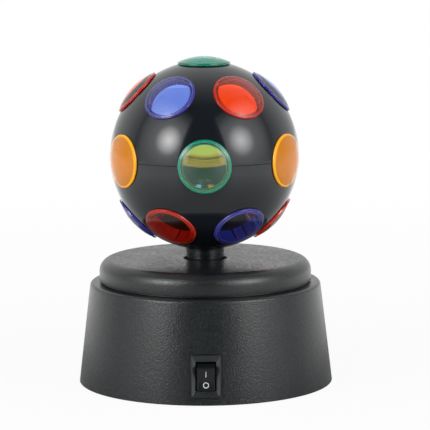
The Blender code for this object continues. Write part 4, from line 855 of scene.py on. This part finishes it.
keptFinishes = (
    (plastics["innerBlack"], ["bottom_plate", "battery_door", "gear_deck", "led_post"]),
    (plastics["gearWhite"], ["thrust_washer", "neck_bush", "ball_gear", "idler_gear"]),
    (plastics["boardGreen"], ["led_board"]),
    (plastics["wireRed"], ["led_lead"]),
    (plastics["footRubber"], numbered("foot", 3)),
    (plastics["cellWrap"], numbered("battery", 3)),
    (clears["ledClear"], ["led"]),
    (metals["screwSteel"], ["drive_motor", "gearhead", "idler_axle", "door_screw",
                            *numbered("case_screw", 3), *numbered("cover_screw", 3)]),
    (metals["contactBrass"], ["motor_pinion", *numbered("switch_terminal", 2),
                              *numbered("battery_contact", 4)]),
)


def finishKept():
    finished = []
    for material, names in keptFinishes:
        for name in names:
            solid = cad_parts[name]
            solid.data.materials.clear()
            solid.data.materials.append(material)
            finished.append(name)
    left = [name for name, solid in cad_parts.items()
            if not solid.hide_render and name not in finished]
    print("kept solids:", len(finished), "left without a finish:", left)


# studio: pale floor, two soft panels with a dark gap between them, white all round
studio = dict(floorSize=30.0, floorColour=(0.62, 0.62, 0.62), floorRough=0.9,
              whiteNear=0.94, whiteFar=1.0, whiteFade=(0.12, 0.75),  # metres from the middle
              glossFade=(0.12, 0.40), frontGlow=0.35, sideGlow=1.40,
              bearingFade=(0.15, 0.60),  # radians off the way to the camera
              worldLight=0.30, glossFront=0.05, glossBack=1.0, worldFade=(-0.35, 0.45))
panelLook = dict(elevation=20, distance=1.25, width=1.56, height=2.0, glow=1.2,
                 coreFade=(0.02, 0.40), wideFade=(0.05, 0.80), edgeStart=0.45, edgeGlow=0.2)
panels = (dict(panelLook, name="panel_left", azimuth=-62, core=(0.345, 0.04, 0.0),
               coreGlow=11.5, wideGlow=2.0),
          dict(panelLook, name="panel_right", azimuth=59.5, core=(-0.27, 0.02, 0.0),
               coreGlow=8.6, wideGlow=1.8))


# plain white to the camera, brighter behind than in front in reflections, soft light elsewhere
def makeWorld():
    world = bpy.data.worlds.new("studioWorld")
    bpy.context.scene.world = world
    world.use_nodes = True
    tree = world.node_tree
    sky = tree.nodes["Background"]
    path = tree.nodes.new("ShaderNodeLightPath").outputs
    where = tree.nodes.new("ShaderNodeTexCoord").outputs["Generated"]
    gloss = spread(tree, splitVector(tree, where)["Y"], studio["glossFront"],
                   studio["glossBack"], studio["worldFade"])
    seen = mixMath(tree, "MAXIMUM", path["Is Camera Ray"], path["Is Transmission Ray"])
    glossPart = mixMath(tree, "MULTIPLY", path["Is Glossy Ray"], gloss)
    softShare = mixMath(tree, "SUBTRACT", 1.0, path["Is Glossy Ray"])
    softPart = mixMath(tree, "MULTIPLY", softShare, studio["worldLight"])
    rest = mixMath(tree, "MULTIPLY", mixMath(tree, "SUBTRACT", 1.0, seen),
                   mixMath(tree, "ADD", glossPart, softPart))
    feed(tree, sky.inputs["Strength"], mixMath(tree, "ADD", seen, rest))
    sky.inputs["Color"].default_value = (1.0, 1.0, 1.0, 1.0)


def flatSheet(name, halfX, halfY, material):
    mesh = bpy.data.meshes.new(name)
    corners = [(-halfX, -halfY, 0), (halfX, -halfY, 0), (halfX, halfY, 0), (-halfX, halfY, 0)]
    mesh.from_pydata(corners, [], [(0, 1, 2, 3)])
    mesh.materials.append(material)
    return linkObject(name, mesh)


# the floor is plain near the object, where its shadow falls, and goes over to white
def makeFloor():
    material, tree, shader = newMaterial("studioFloor")
    shader.inputs["Base Color"].default_value = (*studio["floorColour"], 1.0)
    shader.inputs["Roughness"].default_value = studio["floorRough"]
    shader.inputs["Specular IOR Level"].default_value = 0.0
    path = tree.nodes.new("ShaderNodeLightPath").outputs
    seen = mixMath(tree, "MAXIMUM", path["Is Camera Ray"], path["Is Transmission Ray"])
    coords = objectCoords(tree)
    away = vectorMath(tree, "LENGTH", coords)
    white = spread(tree, away, studio["whiteNear"], studio["whiteFar"], studio["whiteFade"])
    direct = mixMath(tree, "MULTIPLY", seen, white)
    mirrored = mixMath(tree, "MULTIPLY", path["Is Glossy Ray"],
                       spread(tree, away, 0.0, 1.0, studio["glossFade"]))
    # in reflections the strip of floor towards the front is dimmer than its sides
    spot = splitVector(tree, coords)
    bearing = mixMath(tree, "ARCTAN2", mixMath(tree, "ABSOLUTE", spot["X"]),
                      mixMath(tree, "MULTIPLY", spot["Y"], -1.0))
    dimmed = spread(tree, bearing, studio["frontGlow"], studio["sideGlow"],
                    studio["bearingFade"])
    change = mixMath(tree, "MULTIPLY", path["Is Glossy Ray"],
                     mixMath(tree, "SUBTRACT", dimmed, 1.0))
    glow = addNode(tree, "ShaderNodeEmission", {"Strength": mixMath(tree, "ADD", change, 1.0)})
    blend = addNode(tree, "ShaderNodeMixShader",
                    {"Fac": mixMath(tree, "MAXIMUM", direct, mirrored),
                     1: shader.outputs["BSDF"], 2: glow.outputs["Emission"]})
    tree.links.new(blend.outputs["Shader"], tree.nodes["Material Output"].inputs["Surface"])
    half = studio["floorSize"] / 2
    flatSheet("studio_floor", half, half, material)


# a panel has a bright core, a wide glow round it and a plain glow that fades outwards and up
def makePanel(look):
    material, tree, shader = newMaterial(look["name"])
    tree.nodes.remove(shader)
    coords = objectCoords(tree)
    halfX, halfY = look["width"] / 2, look["height"] / 2
    away = vectorMath(tree, "LENGTH", vectorMath(tree, "SUBTRACT", coords, look["core"]))
    core = spread(tree, away, look["coreGlow"], 0.0, look["coreFade"])
    wide = spread(tree, away, look["wideGlow"], 0.0, look["wideFade"])
    spot = splitVector(tree, coords)
    outward = mixMath(tree, "MULTIPLY", spot["X"], math.copysign(1.0, look["azimuth"]))
    side = spread(tree, outward, 1.0, look["edgeGlow"], (look["edgeStart"], halfX))
    upper = spread(tree, spot["Y"], 1.0, look["edgeGlow"], (look["edgeStart"], halfY))
    plain = mixMath(tree, "MULTIPLY", mixMath(tree, "MULTIPLY", side, upper), look["glow"])
    level = mixMath(tree, "ADD", mixMath(tree, "ADD", core, wide), plain)
    glow = addNode(tree, "ShaderNodeEmission", {"Strength": level})
    tree.links.new(glow.outputs["Emission"], tree.nodes["Material Output"].inputs["Surface"])
    panel = flatSheet(look["name"], halfX, halfY, material)
    azimuth, elevation = math.radians(look["azimuth"]), math.radians(look["elevation"])
    middle = Vector((0, 0, ball["centre"]))
    place = Vector((math.sin(azimuth) * math.cos(elevation),
                    -math.cos(azimuth) * math.cos(elevation),
                    math.sin(elevation))) * look["distance"] + middle
    panel.location = place
    panel.rotation_euler = (place - middle).to_track_quat("Z", "Y").to_euler()
    panel.visible_camera = False
    panel.visible_transmission = False


def makeStudio():
    makeWorld()
    makeFloor()
    for look in panels:
        makePanel(look)


# camera, at the photo's place; pitch, yaw and roll in radians
view = dict(spot=(0.0, -1.3207, 0.2807), pitch=0.1465, yaw=0.0039, roll=-0.0056,
            lens=218.5, sensor=36.0, farEnd=100.0)


def makeCamera():
    yaw, pitch, roll = view["yaw"], view["pitch"], view["roll"]
    forward = Vector((math.sin(yaw) * math.cos(pitch), math.cos(yaw) * math.cos(pitch),
                      -math.sin(pitch)))
    right = forward.cross(Vector((0, 0, 1))).normalized()
    up = right.cross(forward)
    tiltedRight = math.cos(roll) * right + math.sin(roll) * up
    tiltedUp = math.cos(roll) * up - math.sin(roll) * right
    data = bpy.data.cameras.new("photoCamera")
    data.lens = view["lens"]
    data.sensor_width = view["sensor"]
    data.clip_end = view["farEnd"]
    camera = linkObject("photo_camera", data)
    turn = Matrix((tiltedRight, tiltedUp, -forward)).transposed().to_4x4()
    camera.matrix_world = Matrix.Translation(view["spot"]) @ turn
    bpy.context.scene.camera = camera


for stage, make in (("housing", makeHousing), ("cover", makeCover), ("ball shells", makeShells),
                    ("lenses", makeLenses), ("neck", makeNeck), ("switch frame", makeSwitch),
                    ("rocker", makeRocker), ("marks", makeMarks), ("finishes", finishKept),
                    ("studio", makeStudio), ("camera", makeCamera)):
    make()
    print(stage, "made")
bpy.context.scene.view_settings.view_transform = "Standard"
